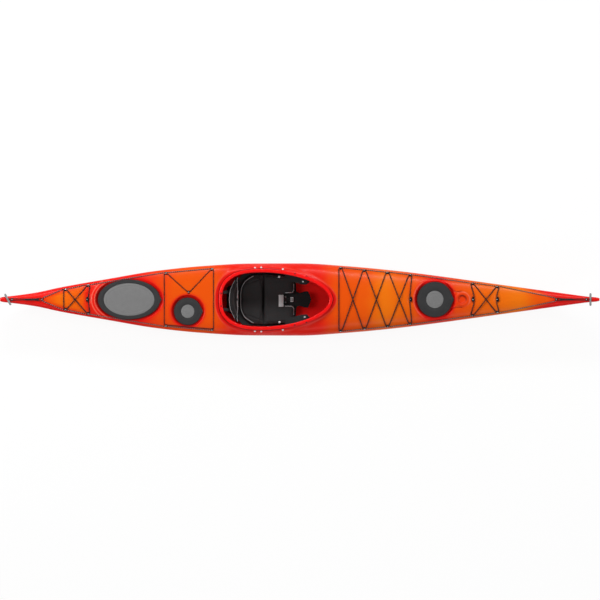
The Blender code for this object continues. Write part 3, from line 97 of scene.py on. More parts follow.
# ---------------------------------------------------------------- materials
class Value:
    """A number socket in a material, which Python's own operators reckon with."""

    def __init__(self, finish, socket):
        self.finish, self.socket = finish, socket

    def _math(self, operation, *others, clamp=False):
        settings = {"operation": operation, "use_clamp": clamp}
        return self.finish.add("ShaderNodeMath", settings, dict(enumerate((self, *others))))

    def __add__(self, other):
        return self._math("ADD", other)

    def __sub__(self, other):
        return self._math("SUBTRACT", other)

    def __mul__(self, other):
        return self._math("MULTIPLY", other)

    def __truediv__(self, other):
        return self._math("DIVIDE", other)

    def __pow__(self, other):
        return self._math("POWER", other)

    def __rsub__(self, other):
        return self.finish.add("ShaderNodeMath", {"operation": "SUBTRACT"}, {0: other, 1: self})

    def __abs__(self):
        return self._math("ABSOLUTE")

    __radd__, __rmul__ = __add__, __mul__

    def clamped(self):
        return self._math("ADD", 0.0, clamp=True)

    def sine(self):
        return self._math("SINE")

    def fraction(self):
        return self._math("FRACT")

    def step(self, low, high):
        """Runs smoothly from 0 at low to 1 at high."""
        inputs = {"Value": self, "From Min": low, "From Max": high}
        return self.finish.add("ShaderNodeMapRange", {"interpolation_type": "SMOOTHSTEP"}, inputs)


class Finish:
    """A material being made: its shader's sockets, and one method that adds every other node."""

    def __init__(self, name, colour=(0.5, 0.5, 0.5), roughness=0.5, **constants):
        self.material = bpy.data.materials.new(name)
        self.material.use_nodes = True
        self.tree = self.material.node_tree
        self.shader = self.tree.nodes["Principled BSDF"]
        self.set("Base Color", (*colour, 1))
        self.set("Roughness", roughness)
        for key, value in constants.items():
            self.set(key.replace("_", " "), value)

    def set(self, socket, value):
        self._feed(self.shader.inputs[socket], value)

    def _feed(self, socket, value):
        if isinstance(value, Value):
            self.tree.links.new(value.socket, socket)
        elif isinstance(value, (tuple, list)) and len(value) == 3 and socket.type == "RGBA":
            socket.default_value = (*value, 1)
        else:
            socket.default_value = value

    def add(self, kind, settings, inputs, output=0):
        node = self.tree.nodes.new(kind)
        for key, value in settings.items():
            if key == "stops":
                self._stops(node.color_ramp, value)
            else:
                setattr(node, key, value)
        for key, value in inputs.items():
            self._feed(node.inputs[key], value)
        return Value(self, node.outputs[output])

    def _stops(self, ramp, stops):
        ramp.interpolation = "EASE"
        while len(ramp.elements) < len(stops):
            ramp.elements.new(0.5)
        for element, (at, level) in zip(ramp.elements, stops):
            element.position = at
            element.color = (level, level, level, 1)

    def place(self):
        return self.add("ShaderNodeTexCoord", {}, {}, "Object")

    def along(self):
        return self.add("ShaderNodeUVMap", {"uv_map": "UVMap"}, {})

    def axes(self, vector):
        first = self.add("ShaderNodeSeparateXYZ", {}, {0: vector})
        return [Value(self, socket) for socket in first.socket.node.outputs]

    def painted(self, attribute):
        """A value that the deck's mesh carries at each of its points."""
        return self.add("ShaderNodeAttribute", {"attribute_name": attribute}, {}, "Fac")

    def stretched(self, vector, scale):
        return self.add("ShaderNodeMapping", {}, {"Vector": vector, "Scale": scale})

    def noise(self, vector, scale, detail=3.0, roughness=0.5):
        inputs = {"Vector": vector, "Scale": scale, "Detail": detail, "Roughness": roughness}
        return self.add("ShaderNodeTexNoise", {}, inputs)

    def cells(self, vector, scale):
        return self.add("ShaderNodeTexVoronoi", {"feature": "F1"}, {"Vector": vector, "Scale": scale})

    def blend(self, factor, a, b):
        """Runs from colour a at 0 to colour b at 1."""
        return self.add("ShaderNodeMix", {"data_type": "RGBA"}, {0: factor, 6: a, 7: b}, 2)

    def relief(self, height, distance, strength=1.0):
        bump = self.add("ShaderNodeBump", {}, {"Height": height, "Distance": distance, "Strength": strength})
        self.set("Normal", bump)


RED = (0.720, 0.0060, 0.0036)
ORANGE = (0.740, 0.078, 0.0012)
AMBER = (0.780, 0.165, 0.0024)
# The darkest of these is painted shade and the palest a painted highlight; the scuffed colour is real wear.
PAINTED_SHADE_RED, PAINTED_HIGHLIGHT_PINK, SCUFFED = (0.055, 0.0008, 0.0006), (0.92, 0.36, 0.24), (0.80, 0.35, 0.22)
# Where the orange shows along the boat: share of the length from the stern, and how much.
ORANGE_STOPS = [
    (0.000, 0.00), (0.070, 0.10), (0.100, 0.85), (0.128, 0.72), (0.146, 0.04), (0.230, 0.05), (0.275, 0.38),
    (0.310, 0.66), (0.352, 0.56), (0.395, 0.05), (0.530, 0.05), (0.560, 0.48), (0.600, 0.66), (0.640, 1.00),
    (0.672, 0.80), (0.705, 0.34), (0.735, 0.14), (0.764, 0.42), (0.805, 0.80), (0.870, 1.00), (0.905, 0.60),
    (0.935, 0.05),
]


def moulding_finish(name):
    """Plastic in two colours that run into each other, with the fine grain of a rotational mould."""
    f = Finish(name, RED, 0.34, Coat_Weight=0.05, Coat_Roughness=0.14, Specular_IOR_Level=0.12)
    place = f.place()
    x, y, z = f.axes(place)
    wander = f.noise(f.stretched(place, (1.0, 1.6, 1.6)), 2.6, 3.0) - 0.5
    along = (x + LENGTH / 2) / LENGTH + wander * 0.035
    zones = f.add("ShaderNodeValToRGB", {"stops": ORANGE_STOPS}, {"Fac": along})
    side = abs(y)
    wedge = ((2.06 - abs(x)) * 0.34 - side + wander * 0.05).step(-0.012, 0.030)
    middle = 1 - side.step(0.10, 0.34) * 0.45
    amount = (f.axes(zones)[0] * wedge * middle * (1 - f.painted("red_ring"))).clamped()
    mottle = (f.noise(place, 38.0, 4.0) - 0.5) * 0.12
    colour = f.blend((amount * 1.9 + mottle).clamped(), RED, ORANGE)
    colour = f.blend(((amount - 0.62) * 2.4 + mottle).clamped(), colour, AMBER)
    # Painted shade in the deck's creases and hollows, read from the deck's points.
    colour = f.blend(f.painted("crease") * 0.90, colour, PAINTED_SHADE_RED)
    # Painted highlights on the proud edges, read from the deck's points.
    colour = f.blend(f.painted("rubbed") * (0.30 + mottle), colour, PAINTED_HIGHLIGHT_PINK)
    scratches = f.noise(f.stretched(place, (5.0, 60.0, 60.0)), 6.0, 5.0, 0.65)
    scuff = scratches.step(0.60, 0.74) * (1 - z.step(0.01, 0.12))
    f.set("Base Color", f.blend(scuff * 0.35, colour, SCUFFED))
    grain = f.noise(place, 420.0, 2.0)
    f.set("Roughness", 0.30 + grain * 0.08 + scuff * 0.25 + (f.noise(place, 9.0, 3.0) - 0.5) * 0.10)
    f.relief(grain * 0.6 + f.noise(place, 60.0, 2.0) * 0.8, 0.00035, 0.5)
    return f.material


def inside_finish():
    """The inside of the mould: the same red, darker and duller, with the pebbled face that no tool touched."""
    f = Finish("inside_moulding", (0.66, 0.004, 0.0035), 0.6, Specular_IOR_Level=0.2)
    place = f.place()
    pebble = f.noise(place, 130.0, 4.0, 0.6)
    f.set("Base Color", f.blend(pebble, (0.80, 0.0026, 0.0024), (0.94, 0.0040, 0.0036)))
    f.set("Roughness", 0.52 + pebble * 0.2)
    f.relief(pebble, 0.0012, 0.6)
    return f.material


def rim_finish():
    """The same plastic where the cockpit's rim was finished smooth and glossy."""
    red = (0.80, 0.0060, 0.0060)
    f = Finish("rim_moulding", red, 0.24, Coat_Weight=0.07, Coat_Roughness=0.08, Specular_IOR_Level=0.13)
    place = f.place()
    wear = f.noise(place, 55.0, 4.0, 0.6).step(0.58, 0.70)
    f.set("Base Color", f.blend(wear * 0.10, red, (0.85, 0.12, 0.09)))
    f.set("Roughness", 0.20 + wear * 0.12 + f.noise(place, 14.0, 2.0) * 0.08)
    f.relief(f.noise(place, 300.0, 2.0), 0.0002, 0.4)
    return f.material


def rubber_finish():
    f = Finish("cover_rubber", (0.030, 0.030, 0.031), 0.62, Specular_IOR_Level=0.25)
    place = f.place()
    bloom = f.noise(place, 16.0, 4.0, 0.6)
    dust = f.noise(place, 240.0, 3.0, 0.7).step(0.60, 0.80)
    shade = f.blend(bloom, (0.019, 0.019, 0.020), (0.032, 0.032, 0.033))
    f.set("Base Color", f.blend(dust * 0.3, shade, (0.07, 0.07, 0.07)))
    f.set("Roughness", 0.52 + bloom * 0.18)
    f.relief(f.noise(place, 700.0, 2.0), 0.00025, 0.6)
    return f.material


def insert_finish():
    """Stiff grey plastic with a fine woven pattern pressed into it."""
    f = Finish("lid_plastic", (0.18, 0.18, 0.18), 0.55, Specular_IOR_Level=0.3)
    place = f.place()
    x, y, _ = f.axes(place)
    weave = (x * 2600.0).sine() * (y * 2600.0).sine()
    cloud = f.noise(place, 30.0, 4.0, 0.6)
    pale = (cloud * 0.6 + f.cells(place, 300.0).step(0.0, 0.5) * 0.4).clamped()
    f.set("Base Color", f.blend(pale, (0.122, 0.122, 0.122), (0.186, 0.186, 0.186)))
    f.set("Roughness", 0.48 + cloud * 0.15)
    f.relief(weave * 0.5 + f.noise(place, 500.0, 2.0), 0.0003, 0.7)
    return f.material


def moulded_finish(name, colour, roughness=0.42, grain=900.0):
    """Plain injection-moulded plastic: a fine sparkle of grain, with paler worn spots."""
    f = Finish(name, colour, roughness, Specular_IOR_Level=0.18)
    place = f.place()
    rub = f.noise(place, 120.0, 4.0, 0.6).step(0.55, 0.78)
    paler = tuple(min(1.0, c * 1.5 + 0.010) for c in colour)
    f.set("Base Color", f.blend(rub * 0.5, colour, paler))
    f.set("Roughness", roughness + f.noise(place, 45.0, 3.0) * 0.16 - rub * 0.06)
    f.relief(f.noise(place, grain, 2.0), 0.0002, 0.55)
    return f.material


def tinted(colour, share):
    return tuple(c * share for c in colour)


def cord_finish(name, colour, strand, fleck=None, fleck_length=0.012, gap=0.030):
    """A braided sleeve: two sets of strands that cross round the cord, and pale flecks where it has them."""
    f = Finish(name, colour, 0.72, Sheen_Weight=0.08, Sheen_Roughness=0.5, Specular_IOR_Level=0.2)
    u, v, _ = f.axes(f.along())
    one = ((u * 6.0 + v * 230.0) * (2 * math.pi)).sine()
    two = ((u * 6.0 - v * 230.0) * (2 * math.pi)).sine()
    braid = (one * two) * 0.5 + 0.5
    body = f.blend(braid.clamped(), tinted(colour, 0.45), strand)
    if fleck:
        share = fleck_length / gap
        tracer = (1 - (v / gap).fraction().step(share - 0.06, share)) * abs(u - 0.25).step(0.30, 0.20)
        body = f.blend((tracer * (0.35 + braid * 0.65)).clamped(), body, fleck)
    f.set("Base Color", body)
    f.set("Roughness", 0.62 + braid * 0.2)
    f.relief(braid, 0.0006, 0.9)
    return f.material


HOLE_PITCH = 0.0096


def fabric_finish(name, colour, holes=False):
    """Black woven cover cloth with dust in its valleys; the mesh version has rows of small holes."""
    f = Finish(name, colour, 0.85, Sheen_Weight=0.08, Sheen_Roughness=0.45, Specular_IOR_Level=0.2)
    place = f.place()
    x, y, _ = f.axes(place)
    warp, weft = (x * 3100.0).sine(), (y * 3100.0).sine()
    cloth = warp * weft * 0.5 + 0.5
    cloud = f.noise(place, 22.0, 4.0, 0.6)
    lint = f.noise(place, 800.0, 3.0, 0.7).step(0.62, 0.80)
    base = f.blend(cloth.clamped(), tinted(colour, 0.55), tinted(colour, 1.5))
    height = cloth * 0.4
    if holes:
        turn = 2 * math.pi / HOLE_PITCH
        row = (x * turn).sine() * (y * turn).sine()
        hole = abs(row).step(0.40, 0.75)
        base = f.blend(hole * 0.8, base, (0.002, 0.002, 0.002))
        height = height - hole * 1.6
    base = f.blend(lint * 0.25, base, (0.09, 0.09, 0.09))
    f.set("Base Color", f.blend(cloud * 0.25, base, tinted(colour, 2.2)))
    f.set("Roughness", 0.78 + cloud * 0.15)
    f.relief(height + cloud * 0.3, 0.0008, 0.7)
    return f.material


def webbing_finish(name, colour):
    f = Finish(name, colour, 0.8, Sheen_Weight=0.08, Specular_IOR_Level=0.25)
    place = f.place()
    x, y, _ = f.axes(place)
    rib = ((x + y) * 2400.0).sine() * ((x - y) * 2400.0).sine() * 0.5 + 0.5
    f.set("Base Color", f.blend(rib.clamped(), tinted(colour, 0.6), tinted(colour, 1.25)))
    f.set("Roughness", 0.74 + rib * 0.15)
    f.relief(rib, 0.0005, 0.8)
    return f.material


def steel_finish(name="screw_steel", level=1.0, metallic=1.0):
    f = Finish(name, (0.72, 0.74, 0.75), 0.28, Metallic=metallic)
    place = f.place()
    brushed = f.noise(f.stretched(place, (400.0, 2500.0, 400.0)), 1.0, 3.0)
    dark, pale = tinted((0.46, 0.48, 0.49), level), tinted((0.66, 0.67, 0.68), level)
    f.set("Base Color", f.blend(brushed, dark, pale))
    f.set("Roughness", 0.34 + brushed * 0.18)
    f.relief(brushed, 0.0001, 0.4)
    return f.material


def foam_finish():
    f = Finish("foam", (0.05, 0.05, 0.055), 0.92)
    place = f.place()
    cell = f.cells(place, 520.0)
    f.set("Base Color", f.blend(cell.clamped(), (0.03, 0.03, 0.034), (0.085, 0.085, 0.09)))
    f.set("Roughness", 0.85 + f.noise(place, 60.0) * 0.12)
    f.relief(cell, 0.0008, 0.8)
    return f.material


def floor_finish():
    """White studio paper that still takes the boat's shadow."""
    f = Finish("studio_paper", (0.93, 0.93, 0.93), 0.9)
    glow = f.tree.nodes.new("ShaderNodeEmission")
    glow.inputs["Strength"].default_value = 1.0
    mix = f.tree.nodes.new("ShaderNodeMixShader")
    seen = f.add("ShaderNodeLightPath", {}, {}, "Is Camera Ray")
    glossy = f.add("ShaderNodeLightPath", {}, {}, "Is Glossy Ray")
    clear = f.add("ShaderNodeLightPath", {}, {}, "Is Transmission Ray")
    under = f.add("ShaderNodeNewGeometry", {}, {}, "Backfacing")
    f._feed(mix.inputs[0], ((seen + glossy + clear).clamped() * 0.92 + under).clamped())
    f.tree.links.new(f.shader.outputs[0], mix.inputs[1])
    f.tree.links.new(glow.outputs[0], mix.inputs[2])
    f.tree.links.new(mix.outputs[0], f.tree.nodes["Material Output"].inputs["Surface"])
    return f.material


def light_world():
    world = bpy.data.worlds.new("studio")
    bpy.context.scene.world = world
    world.use_nodes = True
    tree = world.node_tree
    soft = tree.nodes["Background"]
    soft.inputs["Color"].default_value = (1, 1, 1, 1)
    soft.inputs["Strength"].default_value = 0.25
    white = tree.nodes.new("ShaderNodeBackground")
    white.inputs["Color"].default_value = (1, 1, 1, 1)
    white.inputs["Strength"].default_value = 1.0
    path = tree.nodes.new("ShaderNodeLightPath")
    mix = tree.nodes.new("ShaderNodeMixShader")
    tree.links.new(path.outputs["Is Camera Ray"], mix.inputs[0])
    tree.links.new(soft.outputs[0], mix.inputs[1])
    tree.links.new(white.outputs[0], mix.inputs[2])
    tree.links.new(mix.outputs[0], tree.nodes["World Output"].inputs["Surface"])


# ---------------------------------------------------------------- hands: the small moves every piece is made with
def rest():
    """Leaves edit mode with nothing selected."""
    if bpy.context.mode != "OBJECT":
        bpy.ops.object.mode_set(mode="OBJECT")
    bpy.ops.object.select_all(action="DESELECT")


def pick(obj):
    rest()
    obj.select_set(True)
    bpy.context.view_layer.objects.active = obj
    return obj


def started(name):
    """Names the primitive that was just added and takes its place into its mesh."""
    obj = bpy.context.active_object
    obj.name = obj.data.name = name
    pick(obj)
    bpy.ops.object.transform_apply(location=True, rotation=True, scale=True)
    return obj


def choose_faces(obj, test):
    """Goes into edit mode with only the faces selected whose centre and normal pass the test."""
    pick(obj)
    bpy.ops.object.mode_set(mode="EDIT")
    bpy.ops.mesh.select_mode(type="FACE")
    bm = bmesh.from_edit_mesh(obj.data)
    for face in bm.faces:
        face.select_set(bool(test(face.calc_center_median(), face.normal)))
    bm.select_flush_mode()
    bmesh.update_edit_mesh(obj.data)


def apply_all(obj):
    pick(obj)
    for modifier in list(obj.modifiers):
        bpy.ops.object.modifier_apply(modifier=modifier.name)
    return obj


def bevelled(obj, width, segments=2, degrees=35):
    modifier = obj.modifiers.new("bevel", "BEVEL")
    modifier.width, modifier.segments = width, segments
    modifier.limit_method, modifier.angle_limit = "ANGLE", math.radians(degrees)
    return apply_all(obj)


def cut(obj, tool, operation="DIFFERENCE"):
    """Cuts one piece with another and throws the tool away."""
    modifier = obj.modifiers.new("cut", "BOOLEAN")
    modifier.operation, modifier.solver, modifier.object = operation, "EXACT", tool
    apply_all(obj)
    bpy.data.objects.remove(tool)
    return obj


def smooth(obj, degrees=35):
    pick(obj)
    bpy.ops.object.shade_smooth_by_angle(angle=math.radians(degrees))
    return obj


def joined(name, parts):
    rest()
    for part in parts:
        part.select_set(True)
    bpy.context.view_layer.objects.active = parts[0]
    if len(parts) > 1:
        bpy.ops.object.join()
    parts[0].name = parts[0].data.name = name
    return parts[0]


def copy_at(master, matrix, name):
    """A copy with its own mesh, which takes the placing into its mesh."""
    mesh = master.data.copy()
    mesh.transform(matrix)
    mesh.name = name
    return linked(name, mesh)


def turned_in(obj, turn):
    """Takes a placing into a mesh, which stays the right way out where the placing mirrors it."""
    obj.data.transform(turn)
    if turn.determinant() < 0:
        obj.data.flip_normals()
    return obj


def faced_out(obj):
    """Turns the faces of a closed piece outwards."""
    pick(obj)
    bpy.ops.object.mode_set(mode="EDIT")
    bpy.ops.mesh.select_all(action="SELECT")
    bpy.ops.mesh.normals_make_consistent(inside=False)
    rest()
    return obj


def spread(low, high, steps):
    """Even numbers from low to high, both of them included."""
    return [low + (high - low) * i / steps for i in range(steps + 1)]


def turns(count):
    """Even angles round a full turn."""
    return [2 * math.pi * i / count for i in range(count)]


def stacked(rows, sides):
    """The quads round a stack of equal rings of points, and a face over each end."""
    faces = []
    for r in range(rows - 1):
        for i in range(sides):
            j = (i + 1) % sides
            faces.append((r * sides + i, r * sides + j, (r + 1) * sides + j, (r + 1) * sides + i))
    return faces + [list(range(sides))[::-1], [(rows - 1) * sides + i for i in range(sides)]]


def read_points(obj):
    co = np.empty(len(obj.data.vertices) * 3, np.float32)
    obj.data.vertices.foreach_get("co", co)
    return co.reshape(-1, 3)


def write_points(obj, co):
    obj.data.vertices.foreach_set("co", co.ravel())
    obj.data.update()


def from_mesh(name, verts, faces, uvs=None, degrees=40):
    mesh = bpy.data.meshes.new(name)
    mesh.from_pydata([tuple(v) for v in verts], [], faces)
    if uvs is not None:
        layer = mesh.uv_layers.new(name="UVMap")
        layer.data.foreach_set("uv", np.asarray(uvs, np.float32).ravel())
    mesh.validate()
    return smooth(linked(name, mesh), degrees)


def dress(obj, material, body, slot, *replaced):
    """Gives a piece its material and its body, and hides the CAD nodes that it stands for; the slot argument is not
    used.
    """
    if material is not None:
        obj.data.materials.clear()
        obj.data.materials.append(material)
    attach(obj, body)
    if replaced:
        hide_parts(*replaced)
    return obj


def block(name, centre, size):
    rest()
    bpy.ops.mesh.primitive_cube_add(size=1.0, location=centre)
    obj = bpy.context.active_object
    obj.scale = size
    return started(name)


def rod(name, start, end, radius, sides=20):
    start, end = Vector(start), Vector(end)
    rest()
    turn = (end - start).to_track_quat("Z", "Y").to_euler()
    middle, depth = (start + end) / 2, (end - start).length
    bpy.ops.mesh.primitive_cylinder_add(vertices=sides, radius=radius, depth=depth, location=middle, rotation=turn)
    return started(name)


def disc(name, centre, radius, sides=64, stretch=(1.0, 1.0)):
    rest()
    bpy.ops.mesh.primitive_circle_add(vertices=sides, radius=radius, fill_type="NGON", location=centre)
    bpy.context.active_object.scale = (*stretch, 1.0)
    return started(name)


def stepped(obj, steps):
    """Builds a round piece up from its flat disc: (inward, upward) steps, each an inset or a straight wall."""
    top = max(p.center.z for p in obj.data.polygons)
    choose_faces(obj, lambda c, n: abs(c.z - top) < 1e-6)
    for inward, upward in steps:
        if inward == 0.0:
            bpy.ops.mesh.extrude_region_move(TRANSFORM_OT_translate={"value": (0, 0, upward)})
        else:
            bpy.ops.mesh.inset(thickness=abs(inward), depth=0.0, use_outset=inward < 0)
            if upward:
                bpy.ops.transform.translate(value=(0, 0, upward))
    rest()
    return obj


# ---------------------------------------------------------------- form of the boat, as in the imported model
LENGTH, BEAM, WALL, FIT_GAP = 4.72, 0.571, 0.005, 0.0003
HOLLOW_END = 0.481 * LENGTH
KEEL_PAD = 0.045
# The boat's lines, station by station: place along the length and half-beam as shares, then the heights
# of the keel, the sheer and the deck's ridge, and how full the bilge and the deck's camber are.
OFFSETS = [
    (-0.5000, 0.045, 0.262, 0.318, 0.334, 1.5, 2.0),
    (-0.4960, 0.068, 0.205, 0.316, 0.334, 1.5, 2.0),
    (-0.4800, 0.098, 0.118, 0.308, 0.330, 1.4, 2.0),
    (-0.4400, 0.190, 0.052, 0.287, 0.319, 1.4, 2.0),
    (-0.4000, 0.332, 0.030, 0.265, 0.305, 1.5, 2.0),
    (-0.3200, 0.567, 0.010, 0.238, 0.285, 1.8, 2.2),
    (-0.2400, 0.788, 0.001, 0.218, 0.268, 2.2, 2.8),
    (-0.1600, 0.925, 0.000, 0.205, 0.262, 2.5, 4.0),
    (-0.0800, 0.992, 0.000, 0.200, 0.271, 2.7, 6.0),
    (0.0000, 0.996, 0.000, 0.204, 0.292, 2.7, 5.0),
    (0.0800, 0.918, 0.000, 0.215, 0.322, 2.6, 2.8),
    (0.1600, 0.794, 0.000, 0.231, 0.331, 2.3, 2.2),
    (0.2400, 0.628, 0.004, 0.251, 0.331, 2.0, 2.0),
    (0.3200, 0.444, 0.020, 0.276, 0.336, 1.7, 1.9),
    (0.4000, 0.260, 0.060, 0.309, 0.351, 1.5, 1.9),
    (0.4600, 0.124, 0.135, 0.341, 0.369, 1.4, 1.9),
    (0.4800, 0.080, 0.185, 0.352, 0.376, 1.4, 1.9),
    (0.4960, 0.056, 0.262, 0.361, 0.380, 1.5, 1.9),
    (0.5000, 0.035, 0.300, 0.362, 0.379, 1.5, 1.9),
]
COCKPIT_WIDEST_X = -0.063 * LENGTH
COCKPIT_AFT, COCKPIT_FORE, COCKPIT_HALF_WIDTH = 0.313, 0.530, 0.2135
COCKPIT_AFT_POWER, COCKPIT_FORE_POWER = 2.6, 1.9
RIM_WALL, RIM_LIP, RIM_HEIGHT = 0.006, 0.027, 0.022
RIM_SEAT = [(-0.70, 0.262), (-0.60, 0.264), (-0.20, 0.280), (0.233, 0.319), (0.33, 0.325)]
RIM_BLEND_END, RIM_EDGE_SHARE = RIM_LIP + 0.038, 0.16
RISER_WALL, RISER_HEIGHT = 0.006, 0.016
SEAT_MARGIN, RECESS_MARGIN = 0.009, 0.026
COVER_SKIRT, COVER_CLEARANCE, COVER_TOP, COVER_TAB = 0.0045, 0.0015, 0.0045, 0.011
HATCHES = {
    "stern": dict(at=(-0.2846 * LENGTH, 0.0), half=(0.245, 0.156), rim=0.046, side_rim=0.028, seat_z=0.255),
    "day": dict(at=(-0.1868 * LENGTH, -0.093), half=(0.1075, 0.1075), rim=0.055, side_rim=0.055, seat_z=0.243),
    "bow": dict(at=(0.2252 * LENGTH, 0.0), half=(0.138, 0.138), rim=0.070, side_rim=0.070, seat_z=0.302),
}
COMPASS_X, COMPASS_Z, COMPASS_DEPTH = 0.2708 * LENGTH, 0.3340, 0.013
COMPASS_PLATEAU, COMPASS_BLEND, COMPASS_CUP, COMPASS_FLOOR = 0.048, 0.012, 0.037, 0.022


def smoothstep(t):
    t = min(1.0, max(0.0, t))
    return t * t * (3 - 2 * t)


def monotone_curve(points):
    """A smooth function through (x, y) points that never swings past them."""
    xs = [p[0] for p in points]
    ys = [p[1] for p in points]
    slopes = [(ys[i + 1] - ys[i]) / (xs[i + 1] - xs[i]) for i in range(len(xs) - 1)]
    tangents = [slopes[0]]
    for before, after in zip(slopes, slopes[1:]):
        tangents.append(0.0 if before * after <= 0 else 2 * before * after / (before + after))
    tangents.append(slopes[-1])

    def value(x):
        x = min(xs[-1], max(xs[0], x))
        i = next(k for k in range(len(xs) - 1) if x <= xs[k + 1])
        step = xs[i + 1] - xs[i]
        t = (x - xs[i]) / step
        return (
            (2 * t**3 - 3 * t**2 + 1) * ys[i]
            + (t**3 - 2 * t**2 + t) * step * tangents[i]
            + (3 * t**2 - 2 * t**3) * ys[i + 1]
            + (t**3 - t**2) * step * tangents[i + 1]
        )

    return value


def offset_curve(column, scale=1.0):
    return monotone_curve([(row[0] * LENGTH, row[column] * scale) for row in OFFSETS])


half_beam = offset_curve(1, BEAM / 2)
keel_z = offset_curve(2)
sheer_z = offset_curve(3)
ridge_z = offset_curve(4)
bilge_power = offset_curve(5)
camber_power = offset_curve(6)
rim_seat_z = monotone_curve(RIM_SEAT)


def hull_section(x, steps, inset=0.0):
    """Half a section, from the keel to the sheer, as (y, z) points; inset gives the inner skin."""
    b, k, power = half_beam(x) - inset, keel_z(x) + inset, bilge_power(x)
    s = sheer_z(x) - FIT_GAP / 2
    pad = min(KEEL_PAD, 0.28 * b)
    points = [(0.0, k)]
    for i in range(steps):
        t = math.pi / 2 * i / (steps - 1)
        y = pad + (b - pad) * math.sin(t) ** (2 / power)
        z = s - (s - k) * max(0.0, math.cos(t)) ** (2 / power)
        points.append((y, z))
    return points


def cockpit_outline(angle):
    c, s = math.cos(angle), math.sin(angle)
    power = COCKPIT_FORE_POWER if c > 0 else COCKPIT_AFT_POWER
    reach = COCKPIT_FORE if c > 0 else COCKPIT_AFT
    x = reach * abs(c) ** (2 / power) * (1 if c > 0 else -1)
    y = COCKPIT_HALF_WIDTH * abs(s) ** (2 / power) * (1 if s > 0 else -1)
    return Vector((COCKPIT_WIDEST_X + x, y))


def cockpit_distance(x, y):
    """How far outside the cockpit's opening a point lies, along its ray; negative inside."""
    dx = x - COCKPIT_WIDEST_X
    power = COCKPIT_FORE_POWER if dx > 0 else COCKPIT_AFT_POWER
    reach = COCKPIT_FORE if dx > 0 else COCKPIT_AFT
    share = (abs(dx / reach) ** power + abs(y / COCKPIT_HALF_WIDTH) ** power) ** (1 / power)
    return math.hypot(dx, y) * (1 - 1 / max(share, 1e-6))


def hatch_distance(hatch, x, y):
    (cx, cy), (ax, ay) = hatch["at"], hatch["half"]
    dx, dy = x - cx, y - cy
    share = math.hypot(dx / ax, dy / ay)
    return math.hypot(dx, dy) * (1 - 1 / max(share, 1e-6))


# Shallow dips moulded into the deck under its centre cleats and beside the cockpit: their centre, half-length,
# half-width and depth.
DIPS = [
    (-1.669, 0.006, 0.024, 0.044, 0.0035), (0.873, -0.002, 0.026, 0.050, 0.0035),
    (1.366, 0.004, 0.026, 0.046, 0.0035), (1.557, 0.006, 0.026, 0.046, 0.0030),
    (-0.303, 0.2525, 0.062, 0.0085, 0.0020), (-0.303, -0.2525, 0.062, 0.0085, 0.0020),
]
BEAD_OUT, RIPPLE_OUT = 0.030, 0.050


# The groove that runs off the bow hatch's recess to each side of the compass seat.
SWOOP = [(1.152, 0.122), (1.170, 0.105), (1.190, 0.084), (1.212, 0.067), (1.240, 0.061), (1.275, 0.064)]


def swoop_distance(x, y):
    if not 1.13 < x < 1.30:
        return 1.0
    p = Vector((x, abs(y)))
    nearest = 1.0
    for a, b in zip(SWOOP, SWOOP[1:]):
        a, b = Vector(a), Vector(b)
        t = min(1.0, max(0.0, (p - a).dot(b - a) / (b - a).length_squared))
        nearest = min(nearest, (p - a.lerp(b, t)).length)
    return nearest


def aft_of(hatch, x):
    """1 on the hatch's aft side, 0 on its fore side."""
    return smoothstep((-(x - hatch["at"][0]) / hatch["half"][0] - 0.50) / 0.45)


def deck_z(x, y):
    """Height of the deck's outer surface: its camber, then what is moulded into it."""
    share = min(1.0, abs(y) / half_beam(x))
    z = sheer_z(x) + (ridge_z(x) - sheer_z(x)) * math.sqrt(max(0.0, 1 - share ** camber_power(x)))
    gap = cockpit_distance(x, y)
    if gap < RIM_BLEND_END:
        weight = 1 - smoothstep((gap - RIM_LIP) / (RIM_BLEND_END - RIM_LIP))
        z += (rim_seat_z(x) - z) * weight * smoothstep((1 - share) / RIM_EDGE_SHARE)
    if RIM_LIP + 0.004 < gap < RIM_BLEND_END + 0.012:
        bead = (gap - RIM_LIP - BEAD_OUT) / 0.012
        z += 0.0034 * math.exp(-bead * bead) * smoothstep((1 - share) / 0.10)
    for hatch in HATCHES.values():
        gap = hatch_distance(hatch, x, y)
        if gap < RECESS_MARGIN:
            weight = 1 - smoothstep((gap - SEAT_MARGIN) / (RECESS_MARGIN - SEAT_MARGIN))
            z += (hatch["seat_z"] - z) * weight
    radius = math.hypot(x - COMPASS_X, y)
    if radius < COMPASS_PLATEAU + COMPASS_BLEND:
        z += (COMPASS_Z - z) * (1 - smoothstep((radius - COMPASS_PLATEAU) / COMPASS_BLEND))
        z -= COMPASS_DEPTH * (1 - smoothstep((radius - COMPASS_FLOOR) / (COMPASS_CUP - COMPASS_FLOOR)))
    z -= 0.0022 * math.exp(-((swoop_distance(x, y) / 0.0055) ** 2))
    ripple = (hatch_distance(HATCHES["stern"], x, y) - RIPPLE_OUT) / 0.007
    if abs(ripple) < 3 and x < HATCHES["stern"]["at"][0]:
        z += 0.0020 * math.exp(-ripple * ripple) * aft_of(HATCHES["stern"], x) * smoothstep((1 - share) / 0.15)
    for cx, cy, ax, ay, depth in DIPS:
        reach = math.hypot((x - cx) / ax, (y - cy) / ay)
        if reach < 1.3:
            z -= depth * (1 - smoothstep((reach - 0.75) / 0.5))
    return z


# ---------------------------------------------------------------- hull and deck, finely drawn
def stations(count):
    """Even along the middle of the boat and closer towards its two tips."""
    xs = [HOLLOW_END * (2 * i / count - 1) for i in range(count + 1)]
    shares = (0.4835, 0.486, 0.4885, 0.491, 0.4935, 0.4955, 0.497, 0.4985, 0.4995, 0.5)
    tips = [LENGTH * share for share in shares]
    return [-x for x in reversed(tips)] + xs + tips


STATION_X = stations(170)
SECTION_STEPS = 26
SKEG_PIVOT_X = -0.3480 * LENGTH


def mirrored(half):
    return [(y, z) for y, z in reversed(half)] + [(-y, z) for y, z in half[1:]]


def loft(faces, rows):
    for a, b in zip(rows, rows[1:]):
        for i in range(len(a) - 1):
            faces.append((a[i], b[i], b[i + 1], a[i + 1]))


